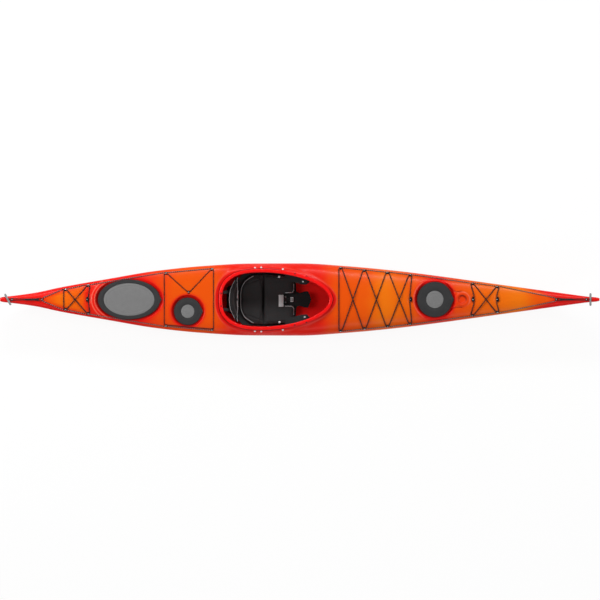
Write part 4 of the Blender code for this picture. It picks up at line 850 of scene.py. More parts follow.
def make_hull():
    verts, faces, outer, inner = [], [], [], []

    def row(x, half):
        first = len(verts)
        verts.extend((x, y, z) for y, z in mirrored(half))
        return list(range(first, len(verts)))

    for x in STATION_X:
        outer.append(row(x, hull_section(x, SECTION_STEPS)))
        has_hollow = abs(x) <= HOLLOW_END + 1e-6
        inner.append(row(x, hull_section(x, SECTION_STEPS, WALL)) if has_hollow else None)
    loft(faces, outer)
    skins = [len(faces)]
    loft(faces, [r[::-1] for r in inner if r])
    skins.append(len(faces))
    hollow = [r for r in inner if r]
    faces += [outer[0], outer[-1][::-1], hollow[0][::-1], hollow[-1]]
    for (oa, ia), (ob, ib) in zip(zip(outer, inner), zip(outer[1:], inner[1:])):
        if ia and ib:
            faces.append((oa[0], ia[0], ib[0], ob[0]))
            faces.append((oa[-1], ob[-1], ib[-1], ia[-1]))
        else:
            near = [oa[0]] + ([ia[0], ia[-1]] if ia else []) + [oa[-1]]
            far = [ob[0]] + ([ib[0], ib[-1]] if ib else []) + [ob[-1]]
            faces.append(near + far[::-1])
    hull = from_mesh("hull_shell", verts, faces)
    for material in (MOULDING, INSIDE):
        hull.data.materials.append(material)
    for face in hull.data.polygons[skins[0] : skins[1]]:
        face.material_index = 1
    slot = block("skeg_slot", (SKEG_PIVOT_X - 0.1425, 0, 0.03), (0.313, 0.008, 0.12))
    cut(hull, bevelled(slot, 0.0035, 4))
    return smooth(faced_out(hull), 50)


def offset_ring(points, out):
    moved = []
    for i, p in enumerate(points):
        along = (points[(i + 1) % len(points)] - points[i - 1]).normalized()
        moved.append(p + out * Vector((along.y, -along.x)))
    return moved


def cockpit_ring(out=0.0, count=150):
    return offset_ring([cockpit_outline(angle) for angle in turns(count)], out)


def hatch_ring(hatch, out=0.0, count=96):
    (cx, cy), (ax, ay) = hatch["at"], hatch["half"]
    return ellipse(cx, cy, ax + out, ay + out, count)


def ellipse(x, y, ax, ay, count):
    return [Vector((x + ax * math.cos(a), y + ay * math.sin(a))) for a in turns(count)]


# The deck's mesh has rings of points at these distances from each moulded shape, and a plain grid elsewhere.
HATCH_RINGS = (0.0, 0.006, SEAT_MARGIN, 0.0125, 0.0165, 0.0205, 0.0245, RECESS_MARGIN + 0.003, 0.032, 0.036)
STERN_RINGS = (0.034, 0.039, 0.043, 0.0465, 0.050, 0.0535, 0.057, 0.061, 0.067)
COMPASS_RINGS = (
    0.008, 0.016, COMPASS_FLOOR, 0.027, 0.032, COMPASS_CUP, 0.042, COMPASS_PLATEAU, 0.052, 0.056, 0.060, 0.064,
    0.068, 0.074,
)
SWOOP_LINES, SWOOP_STEP = (-0.012, -0.008, -0.005, -0.0025, 0.0, 0.0025, 0.005, 0.008, 0.012), 0.004
DIP_RINGS = (0.35, 0.7, 0.85, 1.0, 1.15, 1.3)
GRID_SHARES = (0.0, 0.08, 0.16, 0.24, 0.32, 0.40, 0.48, 0.56, 0.64, 0.71, 0.78, 0.84, 0.89, 0.93, 0.96, 0.982, 0.994)
# How far those rings reach.
COCKPIT_REACH, COMPASS_REACH, SWOOP_REACH, HATCH_REACH, STERN_REACH = RIM_BLEND_END + 0.014, 0.072, 0.010, 0.034, 0.066
STERN_RINGS_X = -1.50


def in_feature(x, y, margin=0.006):
    """Whether the rings of a moulded shape take the grid's place here."""
    dip = DIP_RINGS[-1]
    return (
        cockpit_distance(x, y) < COCKPIT_REACH + margin
        or math.hypot(x - COMPASS_X, y) < COMPASS_REACH + margin
        or swoop_distance(x, y) < SWOOP_REACH + margin
        or x < STERN_RINGS_X and hatch_distance(HATCHES["stern"], x, y) < STERN_REACH + margin
        or any(math.hypot((x - cx) / (ax * dip), (y - cy) / (ay * dip)) < 1.08 for cx, cy, ax, ay, _ in DIPS)
        or any(hatch_distance(h, x, y) < HATCH_REACH + margin for h in HATCHES.values())
    )


def inside(point, polygon):
    hit = False
    for a, b in zip(polygon, polygon[1:] + polygon[:1]):
        if (a.y > point.y) != (b.y > point.y):
            hit ^= point.x < (b.x - a.x) * (point.y - a.y) / (b.y - a.y) + a.x
    return hit


def deck_plan():
    """The deck seen from above as points, with loops of them for its outline, the cockpit and the hatches."""
    port = [Vector((x, half_beam(x))) for x in STATION_X]
    starboard = [Vector((x, -half_beam(x))) for x in STATION_X]
    loops = [port[::-1] + starboard, cockpit_ring(RIM_WALL)]
    loops += [hatch_ring(h, -(COVER_SKIRT + COVER_CLEARANCE)) for h in HATCHES.values()]
    points, edges, ids = [], [], []
    for loop in loops:
        first = len(points)
        points += loop
        ids.append(list(range(first, len(points))))
        edges += list(zip(ids[-1], ids[-1][1:] + ids[-1][:1]))

    bow = HATCHES["bow"]

    def free(p):
        return abs(p.y) < 0.915 * half_beam(p.x)

    kept = []
    for out in spread(RIM_WALL, COCKPIT_REACH, 10)[1:]:
        kept += [p for p in cockpit_ring(out) if free(p)]
    for hatch in HATCHES.values():
        for out in HATCH_RINGS:
            kept += [p for p in hatch_ring(hatch, out) if free(p) and cockpit_distance(*p) > RIM_BLEND_END]
    for radius in COMPASS_RINGS:
        kept += [p for p in ellipse(COMPASS_X, 0, radius, radius, 60) if hatch_distance(bow, *p) > 0.038]
    for (ax, ay), (bx, by) in zip(SWOOP, SWOOP[1:]):
        ahead = Vector((bx - ax, by - ay))
        across = Vector((-ahead.y, ahead.x)).normalized()
        for k in range(round(ahead.length / SWOOP_STEP)):
            for out in SWOOP_LINES:
                p = Vector((ax, ay)) + ahead * (k * SWOOP_STEP / ahead.length) + across * out
                if hatch_distance(bow, *p) > 0.004 and math.hypot(p.x - COMPASS_X, p.y) > 0.058:
                    kept += [p, Vector((p.x, -p.y))]
    for out in STERN_RINGS:
        kept += [p for p in hatch_ring(HATCHES["stern"], out) if p.x < STERN_RINGS_X and free(p)]
    for cx, cy, ax, ay, _ in DIPS:
        for scale in DIP_RINGS:
            ring = ellipse(cx, cy, ax * scale, ay * scale, 28)
            kept += [p for p in ring if free(p) and cockpit_distance(*p) > 0.028]
    for x in STATION_X[1:-1]:
        for share in sorted({s * side for s in GRID_SHARES for side in (-1, 1)}):
            y = share * half_beam(x)
            clear = abs(share) > 0.92 and cockpit_distance(x, y) > 0.02 or not in_feature(x, y)
            if half_beam(x) * (1 - abs(share)) > 0.0009 and clear:
                kept.append(Vector((x, y)))
    seen = set()
    for p in kept:
        apart = 0.0022 if in_feature(*p, 0.004) else 0.0008
        key = (round(p.x / apart), round(p.y / apart))
        if key not in seen:
            seen.add(key)
            points.append(p)
    return points, edges, loops, ids


def red_ring(x, y):
    """How far the plain red reaches round the cockpit, the hatches and the compass seat."""
    ring = 1 - smoothstep((cockpit_distance(x, y) - RIM_LIP - 0.024) / 0.016)
    for hatch in HATCHES.values():
        ring = max(ring, 1 - smoothstep((hatch_distance(hatch, x, y) - 0.016) / 0.034))
    ring = max(ring, 0.45 - 0.45 * smoothstep((math.hypot((x - COMPASS_X) / 1.25, y) - 0.040) / 0.045))
    return ring


def crease(x, y):
    """Painted shade: where the deck runs in under the rim's lip and the covers' skirts, wider on a hatch's aft side,
    round the compass cup's wall, darkest on its port and fore side, and along the grooves off the bow hatch.
    """
    shade = 1 - smoothstep((cockpit_distance(x, y) - RIM_LIP - 0.001) / 0.0075)
    for hatch in HATCHES.values():
        # Painted shadow under each cover, wider on the hatch's aft side.
        width = 0.0085 + 0.0075 * aft_of(hatch, x)
        shade = max(shade, 1 - smoothstep((hatch_distance(hatch, x, y) - 0.001) / width))
    cup = math.hypot(x - COMPASS_X, y)
    # The compass cup's wall gets painted shade, darkest on its port and fore side, whose wall faces away from the port
    # lamp.
    lee = 0.25 + 0.75 * smoothstep((y + 0.6 * (x - COMPASS_X)) / 0.030)
    shade = max(shade, 0.80 * lee * math.exp(-(((cup - 0.031) / 0.0070) ** 2)))
    return max(shade, 0.60 * math.exp(-((swoop_distance(x, y) / 0.0045) ** 2)))


def rubbed(x, y):
    """Painted highlights on the mouldings that stand proud of the deck: on the aft side of the hatches' beads, all
    round the cockpit's bead and on the fore and port side of the compass seat.
    """
    stern, bow = HATCHES["stern"], HATCHES["bow"]
    gap = hatch_distance(stern, x, y)
    pale = aft_of(stern, x) * max(math.exp(-(((gap - at) / 0.0045) ** 2)) for at in (0.026, 0.051))
    gap = hatch_distance(bow, x, y)
    pale = max(pale, 0.8 * aft_of(bow, x) * math.exp(-(((gap - 0.027) / 0.0045) ** 2)))
    gap = cockpit_distance(x, y) - RIM_LIP - BEAD_OUT
    pale = max(pale, 0.35 * math.exp(-((gap / 0.0045) ** 2)))
    gap = math.hypot(x - COMPASS_X, y) - 0.060
    pale = max(pale, 0.7 * smoothstep((x - COMPASS_X + 0.5 * y) / 0.05) * math.exp(-((gap / 0.0045) ** 2)))
    return pale


# Near the sheer the deck's underside goes straight inward, so that it stays out of the hull's wall.
EDGE_BAND, EDGE_DROP = 0.0035, 0.0015


def make_deck():
    points, edges, loops, ids = deck_plan()
    flat, _, cells, origins, _, _ = delaunay_2d_cdt(points, edges, [], 0, 1e-6)
    number = {old: new for new, olds in enumerate(origins) for old in olds}
    rings = [[number[i] for i in ring] for ring in ids]
    spans = [([p.x for p in loop], [p.y for p in loop]) for loop in loops[1:]]
    holes = [(loop, min(xs), max(xs), min(ys), max(ys)) for loop, (xs, ys) in zip(loops[1:], spans)]
    kept = []
    for cell in cells:
        c = sum((flat[i] for i in cell), Vector((0, 0))) / len(cell)
        if abs(c.y) > half_beam(c.x) + 1e-5 and not inside(c, loops[0]):
            continue
        if not any(ax < c.x < bx and ay < c.y < by and inside(c, loop) for loop, ax, bx, ay, by in holes):
            kept.append(list(cell))
    outline = set(rings[0])
    bm = bmesh.new()
    verts = []
    for i, p in enumerate(flat):
        verts.append(bm.verts.new((p.x, p.y, sheer_z(p.x) + FIT_GAP / 2 if i in outline else deck_z(p.x, p.y))))
    for cell in kept:
        bm.faces.new([verts[i] for i in cell])
    bm.normal_update()
    under = []
    for i, v in enumerate(verts):
        x, y, z = v.co
        if i in outline or half_beam(x) - abs(y) < EDGE_BAND:
            drop = 0.0 if i in outline else EDGE_DROP
            under.append((x, y - math.copysign(min(WALL, abs(y) * 0.9), y), z - drop))
        else:
            under.append(tuple(v.co - v.normal * WALL))
    low = [bm.verts.new(p) for p in under]
    for cell in kept:
        bm.faces.new([low[i] for i in reversed(cell)]).material_index = 2
    strip(bm, [[low[i] for i in rings[0]], [verts[i] for i in rings[0]]])
    profile = [
        (0.0060, 0.0080), (0.0066, 0.0130), (0.0095, 0.0148), (0.0150, 0.0146), (0.0215, 0.0137), (0.0252, 0.0140),
        (0.0268, 0.0158), (0.0272, 0.0180), (0.0262, 0.0200), (0.0232, 0.0215), (0.0180, 0.0226), (0.0120, 0.0231),
        (0.0070, 0.0229), (0.0030, 0.0216), (0.0008, 0.0194), (0.0000, 0.0160), (0.0000, 0.0060),
    ]
    levels = [[verts[i] for i in rings[1]]]
    for out, up in profile:
        levels.append([bm.verts.new((p.x, p.y, rim_seat_z(p.x) + up)) for p in cockpit_ring(out)])
    for i, p in zip(rings[1], cockpit_ring(0.0)):
        low[i].co = (p.x, p.y, rim_seat_z(p.x) - WALL)
    rim_faces = strip(bm, levels + [[low[i] for i in rings[1]]])
    for hatch, ring in zip(HATCHES.values(), rings[2:]):
        shoulder = RISER_HEIGHT - 0.0015
        profile = [(0.0, shoulder), (-0.0010, RISER_HEIGHT), (-RISER_WALL + 0.001, RISER_HEIGHT), (-RISER_WALL, shoulder)]
        levels = [[verts[i] for i in ring]]
        for out, up in profile:
            edge = hatch_ring(hatch, out - COVER_SKIRT - COVER_CLEARANCE)
            levels.append([bm.verts.new((p.x, p.y, hatch["seat_z"] + up)) for p in edge])
        for i, p in zip(ring, hatch_ring(hatch, -RISER_WALL - COVER_SKIRT - COVER_CLEARANCE)):
            low[i].co = (p.x, p.y, hatch["seat_z"] - WALL)
        strip(bm, levels + [[low[i] for i in ring]])
    for face in rim_faces:
        face.material_index = 1
    # The deck's points carry the red zones, the painted shade and the painted highlights that its material reads.
    shades = {bm.verts.layers.float.new(shade.__name__): shade for shade in (red_ring, crease, rubbed)}
    for v in bm.verts:
        for layer, shade in shades.items():
            v[layer] = shade(v.co.x, v.co.y)
    bmesh.ops.remove_doubles(bm, verts=bm.verts, dist=1e-6)
    bmesh.ops.recalc_face_normals(bm, faces=bm.faces)
    mesh = bpy.data.meshes.new("deck_shell")
    bm.to_mesh(mesh)
    bm.free()
    return smooth(linked("deck_shell", mesh), 45)


def strip(bm, rows):
    """Faces between closed rows of vertices; a row may hold a vertex of the one before it."""
    made = []
    for a, b in zip(rows, rows[1:]):
        for i in range(len(a)):
            j = (i + 1) % len(a)
            corners = list(dict.fromkeys((a[i], a[j], b[j], b[i])))
            if len(corners) > 2:
                made.append(bm.faces.new(corners))
    return made


class Skin:
    """Rays cast at a finished piece, to find where another one rests on it."""

    def __init__(self, *objects):
        verts, polygons = [], []
        for obj in objects:
            base = len(verts)
            verts += [v.co.copy() for v in obj.data.vertices]
            polygons += [[base + i for i in p.vertices] for p in obj.data.polygons]
        self.tree = BVHTree.FromPolygons(verts, polygons)

    def hit(self, start, direction):
        return self.tree.ray_cast(Vector(start), Vector(direction))[0]

    def point(self, x, y):
        """The highest point over a place in plan, or None past the piece's edge."""
        return self.hit((x, y, 1.0), (0, 0, -1))

    def top(self, x, y):
        return self.point(x, y).z

    def floor(self, x, y):
        return self.hit((x, y, sheer_z(x) - 0.012), (0, 0, -1)).z

    def side(self, x, z, sign=1):
        return self.hit((x, 0, z), (0, sign, 0)).y


# ---------------------------------------------------------------- the two mouldings
light_world()
rest()
bpy.ops.mesh.primitive_plane_add(size=60.0, location=(0, 0, -0.0008))
paper = started("studio_floor")
paper.data.materials.append(floor_finish())

MOULDING = moulding_finish("deck_moulding")
RIM = rim_finish()
RUBBER = rubber_finish()
INSERT = insert_finish()
FITTING = moulded_finish("fitting_plastic", (0.0055, 0.0065, 0.0075), 0.40)
BLACK = moulded_finish("black_plastic", (0.0075, 0.0075, 0.0080), 0.52, 600.0)
GREY = moulded_finish("grey_plastic", (0.23, 0.24, 0.24), 0.42)
BUNGEE = cord_finish("bungee_cord", (0.007, 0.007, 0.008), (0.018, 0.019, 0.020))
LINE = cord_finish("deck_line_cord", (0.012, 0.013, 0.014), (0.034, 0.035, 0.036), (0.38, 0.38, 0.37), 0.006, 0.017)
CLOTH = fabric_finish("seat_fabric", (0.014, 0.014, 0.0145))
MESH_CLOTH = fabric_finish("seat_mesh", (0.024, 0.024, 0.0245), holes=True)
PIPING = webbing_finish("seat_piping", (0.44, 0.45, 0.46))
STRAP = webbing_finish("black_webbing", (0.020, 0.020, 0.021))
THREAD = webbing_finish("seam_thread", (0.004, 0.004, 0.004))
PALE_STRAP = webbing_finish("grey_webbing", (0.46, 0.47, 0.475))
STEEL = steel_finish()
BRIGHT = steel_finish("bright_steel", 1.35, 0.35)
FOAM = foam_finish()

INSIDE = inside_finish()
hull = dress(make_hull(), None, "boat", "hull_moulding", "hull")
deck = make_deck()
for material in (MOULDING, RIM, INSIDE):
    deck.data.materials.append(material)
dress(deck, None, "boat", "deck_moulding", "deck_stern", "deck_day", "deck_cockpit", "deck_bow")
on_deck = Skin(deck)
in_hull = Skin(hull)


# ---------------------------------------------------------------- hatch covers
COVER_SIDES = 120


def make_cover(name, hatch):
    """A soft cover: skirt hooked under the riser, a rounded shoulder, a wide sloping band and a raised disc."""
    base = hatch["seat_z"] + RISER_HEIGHT + FIT_GAP
    (cx, cy), (ax, ay) = hatch["at"], hatch["half"]
    rim, side = -hatch["rim"], hatch["side_rim"] / hatch["rim"]
    profile = [
        (-COVER_SKIRT, -0.0004), (-COVER_SKIRT, -0.0108), (-0.0030, -0.0116), (-0.0006, -0.0112), (0.0, -0.0098),
        (-0.0004, -0.0060), (0.0, -0.0010), (-0.0006, 0.0016), (-0.0024, 0.0036), (-0.0052, 0.0045), (-0.0085, 0.0047),
        (-0.0110, 0.0041), (-0.0125, 0.0040), (-0.0145, 0.0046), (rim * 0.62, 0.0051), (rim + 0.0032, 0.0047),
        (rim + 0.0012, 0.0036), (rim, 0.0034),
    ]
    # How far each ring of the shoulder is pulled out into the tab.
    tab = {-0.0006: 1.0, 0.0: 1.0, -0.0004: 1.0, -0.0024: 0.8, -0.0030: 0.8, -0.0052: 0.45, -0.0085: 0.12}
    verts = []
    for out, up in profile:
        for a in turns(COVER_SIDES):
            turn = min(a, 2 * math.pi - a) * ax / 0.024
            pull = COVER_TAB * tab.get(out, 0.0) * math.exp(-turn * turn) if out > -0.009 else 0.0
            rise = 0.0012 * math.exp(-turn * turn) if up > 0 and out > -0.012 else 0.0
            inward = out * side if out < -0.015 else out
            verts.append((cx + (ax + out) * math.cos(a) + pull, cy + (ay + inward) * math.sin(a), base + up + rise))
    cover = from_mesh(name, verts, stacked(len(profile), COVER_SIDES))
    half = (ax + rim - 0.0002, ay + rim * side - 0.0002)
    insert = disc(name.replace("cover", "insert"), (cx, cy, base + 0.0036), 1.0, COVER_SIDES, half)
    stepped(insert, [
        (0.0, 0.0018), (0.0006, 0.0007), (0.0026, 0.0001), (0.0008, -0.0004), (0.0010, 0.0), (0.0008, 0.0004),
        (0.016, 0.0005), (0.0010, -0.0004), (0.0012, 0.0), (0.0010, 0.0004), (0.010, 0.0002),
    ])
    return cover, smooth(insert, 50)


for key, hatch in HATCHES.items():
    cover, insert = make_cover(f"{key}_hatch_cover_skin", hatch)
    dress(cover, RUBBER, f"{key}_cover_body", "cover_rubber", f"{key}_hatch_cover")
    dress(insert, INSERT, f"{key}_cover_body", "lid_plastic")


# ---------------------------------------------------------------- deck fittings
CORD, CORD_LIFT, CORD_BEND, POST = 0.006, 0.0006, 0.006, 0.005
TUNNEL = CORD + 2 * CORD_LIFT
TUNNEL_OFFSET = (POST + TUNNEL) / 2
SADDLE_SIDE, SADDLE_LENGTH = 0.0022, 0.014
SADDLE_HEIGHT = TUNNEL + 0.0028
CLEAT_HALF_LENGTH, CLEAT_NOSE = 0.024, 0.0135
PAIRS = {
    "stern_2": (-1.844, 0.076), "stern_3": (-1.665, 0.109), "stern_4": (-1.053, 0.205), "stern_5": (-0.691, 0.236),
    "bow_1": (0.321, 0.244), "bow_2": (0.509, 0.226), "bow_3": (0.691, 0.208), "bow_4": (0.869, 0.189),
    "bow_5": (1.359, 0.123), "bow_6": (1.555, 0.098),
}
CENTRE_GUIDES = {"guide_stern_1": (-2.028, 0.0), "guide_bow_7": (2.020, 0.0)}
CLEATS = {"cleat_stern": (-1.669, -1), "cleat_bow_4": (0.873, 1), "cleat_bow_5": (1.366, -1), "cleat_bow_6": (1.557, 1)}
DAY_GUIDE = (-0.875, 0.058)
END_GUIDE_X = {"stern": -2.266, "bow": 2.256}


class Fitting:
    """A place on the deck with its own frame: along the tunnels, across them, and out of the deck."""

    def __init__(self, x, y, turned=False, half_length=SADDLE_LENGTH / 2, half_width=None):
        step = 0.006
        slope_x = (deck_z(x + step, y) - deck_z(x - step, y)) / (2 * step)
        slope_y = (deck_z(x, y + step) - deck_z(x, y - step)) / (2 * step)
        self.normal = Vector((-slope_x, -slope_y, 1)).normalized()
        ahead = Vector((0, 1, 0)) if turned else Vector((1, 0, 0))
        self.along = (ahead - self.normal * ahead.dot(self.normal)).normalized()
        self.across = self.normal.cross(self.along)
        self.half_length = half_length
        wide = half_width or TUNNEL_OFFSET + TUNNEL / 2 + SADDLE_SIDE
        centre = Vector((x, y, on_deck.top(x, y)))
        rise = 0.0
        for i in range(-4, 5):
            for j in range(-4, 5):
                p = centre + self.along * half_length * i / 4 + self.across * wide * j / 4
                found = Vector((p.x, p.y, on_deck.top(p.x, p.y)))
                rise = max(rise, (found - centre).dot(self.normal))
        self.centre = centre + self.normal * (rise + 0.0002)

    def at(self, along, across, up):
        return self.centre + self.along * along + self.across * across + self.normal * up

    def toward(self, side):
        return 1 if self.across.dot(side) > 0 else -1

    def matrix(self, down=0.0):
        m = Matrix((self.along, self.across, self.normal)).transposed().to_4x4()
        m.translation = self.centre - self.normal * down
        return m

    def pass_through(self, tunnel, direction, cord=CORD):
        """Where a cord goes into a tunnel and comes out of it."""
        reach = self.half_length + CORD_BEND
        height = cord / 2 + CORD_LIFT
        return [self.at(-direction * reach, tunnel, height), self.at(direction * reach, tunnel, height)]


def tunnel_tool(name, y, length, z=0.0):
    """A round-topped cutter for one cord's way under a fitting."""
    low = block(name + "_low", (0, y, z + TUNNEL / 4 - 0.001), (length, TUNNEL, TUNNEL / 2 + 0.002))
    round_part = rod(name + "_top", (-length / 2, y, z + TUNNEL / 2), (length / 2, y, z + TUNNEL / 2), TUNNEL / 2, 18)
    return cut(low, round_part, "UNION")


def make_screw(name, radius, height):
    """A domed screw head with a washer and a cross recess."""
    head = disc(name, (0, 0, 0), radius, 24)
    stepped(head, [
        (0.0, height * 0.35), (radius * 0.22, 0.0), (0.0, height * 0.25),
        (radius * 0.10, height * 0.22), (radius * 0.22, height * 0.14),
    ])
    for wide, deep in ((0.95, 0.20), (0.20, 0.95)):
        cut(head, block("slot", (0, 0, height), (radius * wide, radius * deep, height)))
    return smooth(head, 40)


def add_screw(name, matrix, finish=None, body="boat"):
    """A copy of the screw at a place of its own."""
    return dress(copy_at(screw, matrix, name), finish or STEEL, body, "aluminium")


def make_saddle(name):
    """A low arch with two tunnels, rounded all over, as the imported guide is."""
    width = 2 * (POST / 2 + TUNNEL + SADDLE_SIDE)
    body = block(name, (0, 0, SADDLE_HEIGHT / 2), (SADDLE_LENGTH, width, SADDLE_HEIGHT))
    choose_faces(body, lambda c, n: n.z > 0.9)
    bpy.ops.transform.resize(value=(0.80, 0.72, 1.0), center_override=(0, 0, SADDLE_HEIGHT))
    rest()
    bevelled(body, 0.0016, 3)
    for y in (-TUNNEL_OFFSET, TUNNEL_OFFSET):
        cut(body, tunnel_tool(name + "_tunnel", y, 0.05))
    bevelled(body, 0.00035, 1, 50)
    return smooth(body, 40)


def make_cleat(name):
    """A teardrop block that stands beside a short arch, which the cord leads through."""
    radius = 0.0094
    body = rod(name, (0, 0, 0), (0, 0, 0.0090), radius, 40)
    for v in body.data.vertices:
        t = max(0.0, v.co.x / radius)
        v.co.x = v.co.x * 1.95 + 0.0062 * t**3
        v.co.y = 0.0042 + v.co.y * (1 - 0.45 * t * t)
    bevelled(body, 0.0019, 3)
    edge = -TUNNEL_OFFSET - TUNNEL / 2 - SADDLE_SIDE
    arch = block(name + "_arch", (0, (edge + 0.002) / 2, SADDLE_HEIGHT / 2), (0.022, 0.002 - edge, SADDLE_HEIGHT))
    cut(body, bevelled(arch, 0.0018, 3), "UNION")
    cut(body, tunnel_tool(name + "_tunnel", -TUNNEL_OFFSET, 0.08))
    return smooth(body, 40)


ON_SADDLE = Matrix.Translation((0, 0, SADDLE_HEIGHT - 0.0006))
ON_CLEAT = Matrix.Translation((0, 0.0038, 0.0088))
saddle, cleat = make_saddle("guide_shape"), make_cleat("cleat_shape")
screw = make_screw("screw_shape", 0.0042, 0.0026)
fittings = {}
for key, (x, y) in PAIRS.items():
    for side, sign in (("port", 1), ("starboard", -1)):
        fittings[f"guide_{key}_{side}"] = Fitting(x, sign * y)
for name, (x, y) in CENTRE_GUIDES.items():
    fittings[name] = Fitting(x, y, turned=True)
fittings["guide_day_hatch"] = Fitting(*DAY_GUIDE)
for name, fitting in fittings.items():
    dress(copy_at(saddle, fitting.matrix(), name + "_body"), FITTING, "boat", "fitting_plastic", name)
    add_screw(name + "_screw", fitting.matrix() @ ON_SADDLE)
for name, (x, nose) in CLEATS.items():
    place = fittings[name] = Fitting(x, 0.0, turned=True, half_length=CLEAT_HALF_LENGTH, half_width=CLEAT_NOSE)
    mirror = Matrix.Diagonal((1, place.toward(Vector((1, 0, 0))) * nose, 1, 1))
    body = copy_at(cleat, place.matrix() @ mirror, name + "_body")
    if mirror.determinant() < 0:
        body.data.flip_normals()
    dress(body, FITTING, "boat", "fitting_plastic", name)
    add_screw(name + "_screw", place.matrix() @ ON_CLEAT)
ends = {}
for end, x in END_GUIDE_X.items():
    ends[end] = Fitting(x, 0.0)
    dress(copy_at(saddle, ends[end].matrix(down=0.0006), f"{end}_end_guide"), FITTING, "boat", "deck_moulding")
    add_screw(f"{end}_end_guide_screw", ends[end].matrix() @ ON_SADDLE)
for master in (saddle, cleat):
    bpy.data.objects.remove(master)


# ---------------------------------------------------------------- cords
CORD_STEP, BUNGEE_RADIUS = 0.009, 0.0039


def taut(start, end, radius, lift_at=None):
    """A cord pulled straight between two points over the deck, which it never cuts into."""
    run = (end.xy - start.xy).length
    count = max(2, math.ceil(run / CORD_STEP))
    points = [start]
    for i in range(1, count):
        p = start.lerp(end, i / count)
        z = on_deck.top(p.x, p.y) + radius + 0.0010
        if lift_at is not None:
            away = abs(i / count - lift_at) * run
            z += (2 * radius + 0.0010) * (1 - smoothstep((away - radius) / 0.030))
        points.append(Vector((p.x, p.y, z)))
    points.append(end)
    hulled = []
    for p in points:
        while len(hulled) > 1:
            a, b = hulled[-2], hulled[-1]
            t = (b.xy - a.xy).length / (p.xy - a.xy).length
            if b.z > a.z + (p.z - a.z) * t:
                break
            hulled.pop()
        hulled.append(p)
    return hulled


def filleted(points, bend, closed):
    """Rounds every corner of a path with a short smooth curve."""
    out = []
    last = len(points) - 1
    for i, p in enumerate(points):
        if not closed and i in (0, last):
            out.append(p)
            continue
        before, after = points[i - 1], points[(i + 1) % len(points)]
        back, ahead = before - p, after - p
        if math.degrees(back.angle(ahead, math.pi)) > 174:
            out.append(p)
            continue
        a = p + back.normalized() * min(bend, back.length * 0.45)
        b = p + ahead.normalized() * min(bend, ahead.length * 0.45)
        for k in range(5):
            t = k / 4
            out.append(a * (1 - t) ** 2 + p * 2 * t * (1 - t) + b * t * t)
    return out


CORD_NEAREST, CORD_FARTHEST = 0.0006, 0.030  # how close together a cord's rings of points may be


def cord_mesh(name, points, radius, closed, sides=10):
    """A round cord along a path, with its own map: round it in u and along its length, in metres, in v."""
    clean = [points[0]]
    for p in points[1:]:
        if (p - clean[-1]).length > CORD_NEAREST:
            clean.append(p)
    if closed and (clean[0] - clean[-1]).length < CORD_NEAREST:
        clean.pop()
    path = [clean[0]]
    for p in clean[1:] + ([clean[0]] if closed else []):
        start = path[-1]
        pieces = max(1, round((p - start).length / CORD_FARTHEST))
        path += [start.lerp(p, k / pieces) for k in range(1, pieces + 1)]
    count = len(path) - (1 if closed else 0)
    verts, faces, uvs, run = [], [], [], [0.0]
    for a, b in zip(path, path[1:]):
        run.append(run[-1] + (b - a).length)
    for i in range(count):
        p = path[i]
        before = path[i - 1] if i else (path[count - 1] if closed else p)
        after = path[(i + 1) % count] if closed else path[min(i + 1, count - 1)]
        ahead = ((after - p).normalized() + (p - before).normalized()).normalized()
        side = ahead.cross(Vector((0, 0, 1))).normalized()
        up = side.cross(ahead)
        for k in range(sides):
            a = 2 * math.pi * (k + 0.5) / sides
            verts.append(p + side * radius * math.cos(a) + up * radius * math.sin(a))
    for i in range(count if closed else count - 1):
        j = (i + 1) % count
        for k in range(sides):
            m = (k + 1) % sides
            faces.append((i * sides + k, i * sides + m, j * sides + m, j * sides + k))
            u, w = k / sides, (k + 1) / sides
            uvs += [(u, run[i]), (w, run[i]), (w, run[i + 1]), (u, run[i + 1])]
    if not closed:
        faces.append(list(range(sides))[::-1])
        faces.append([(count - 1) * sides + k for k in range(sides)])
        uvs += [(k / sides, 0.0) for k in range(sides)] + [(k / sides, run[-1]) for k in range(sides)]
    return faced_out(from_mesh(name, verts, faces, uvs, degrees=60))


def lead(name, stops, radius, closed=False, over=()):
    """Runs a cord through its stops; over maps the number of a leg to where it crosses above another."""
    points = list(stops[0])
    legs = len(stops) if closed else len(stops) - 1
    over = dict(over)
    for i in range(legs):
        start, end = stops[i][-1], stops[(i + 1) % len(stops)][0]
        lift_at = over.get(i)
        if lift_at is True:
            lift_at = start.y / (start.y - end.y)
        points += taut(start, end, radius, lift_at)[1:-1]
        if i + 1 < len(stops):
            points += list(stops[i + 1])
    return cord_mesh(name, filleted(points, CORD_BEND, closed), radius, closed)


def side_stop(key, side, direction, outboard):
    fitting = fittings[f"guide_{key}_{side}"]
    out = Vector((0, 1 if side == "port" else -1, 0))
    return fitting.pass_through(fitting.toward(out) * (1 if outboard else -1) * TUNNEL_OFFSET, direction)


def centre_stop(name, toward_x, direction):
    fitting = fittings[name]
    return fitting.pass_through(fitting.toward(Vector((1, 0, 0))) * toward_x * TUNNEL_OFFSET, direction)


def deck_line(name, keys, middle, toward_x):
    ahead = 1 if middle.endswith("7") else -1
    stops = [side_stop(k, "port", ahead, True) for k in keys]
    stops.append(centre_stop(middle, toward_x, -1))
    stops += [side_stop(k, "starboard", -ahead, True) for k in reversed(keys)]
    return dress(lead(name + "_cord", stops, CORD / 2), LINE, "boat", "deck_line", name)


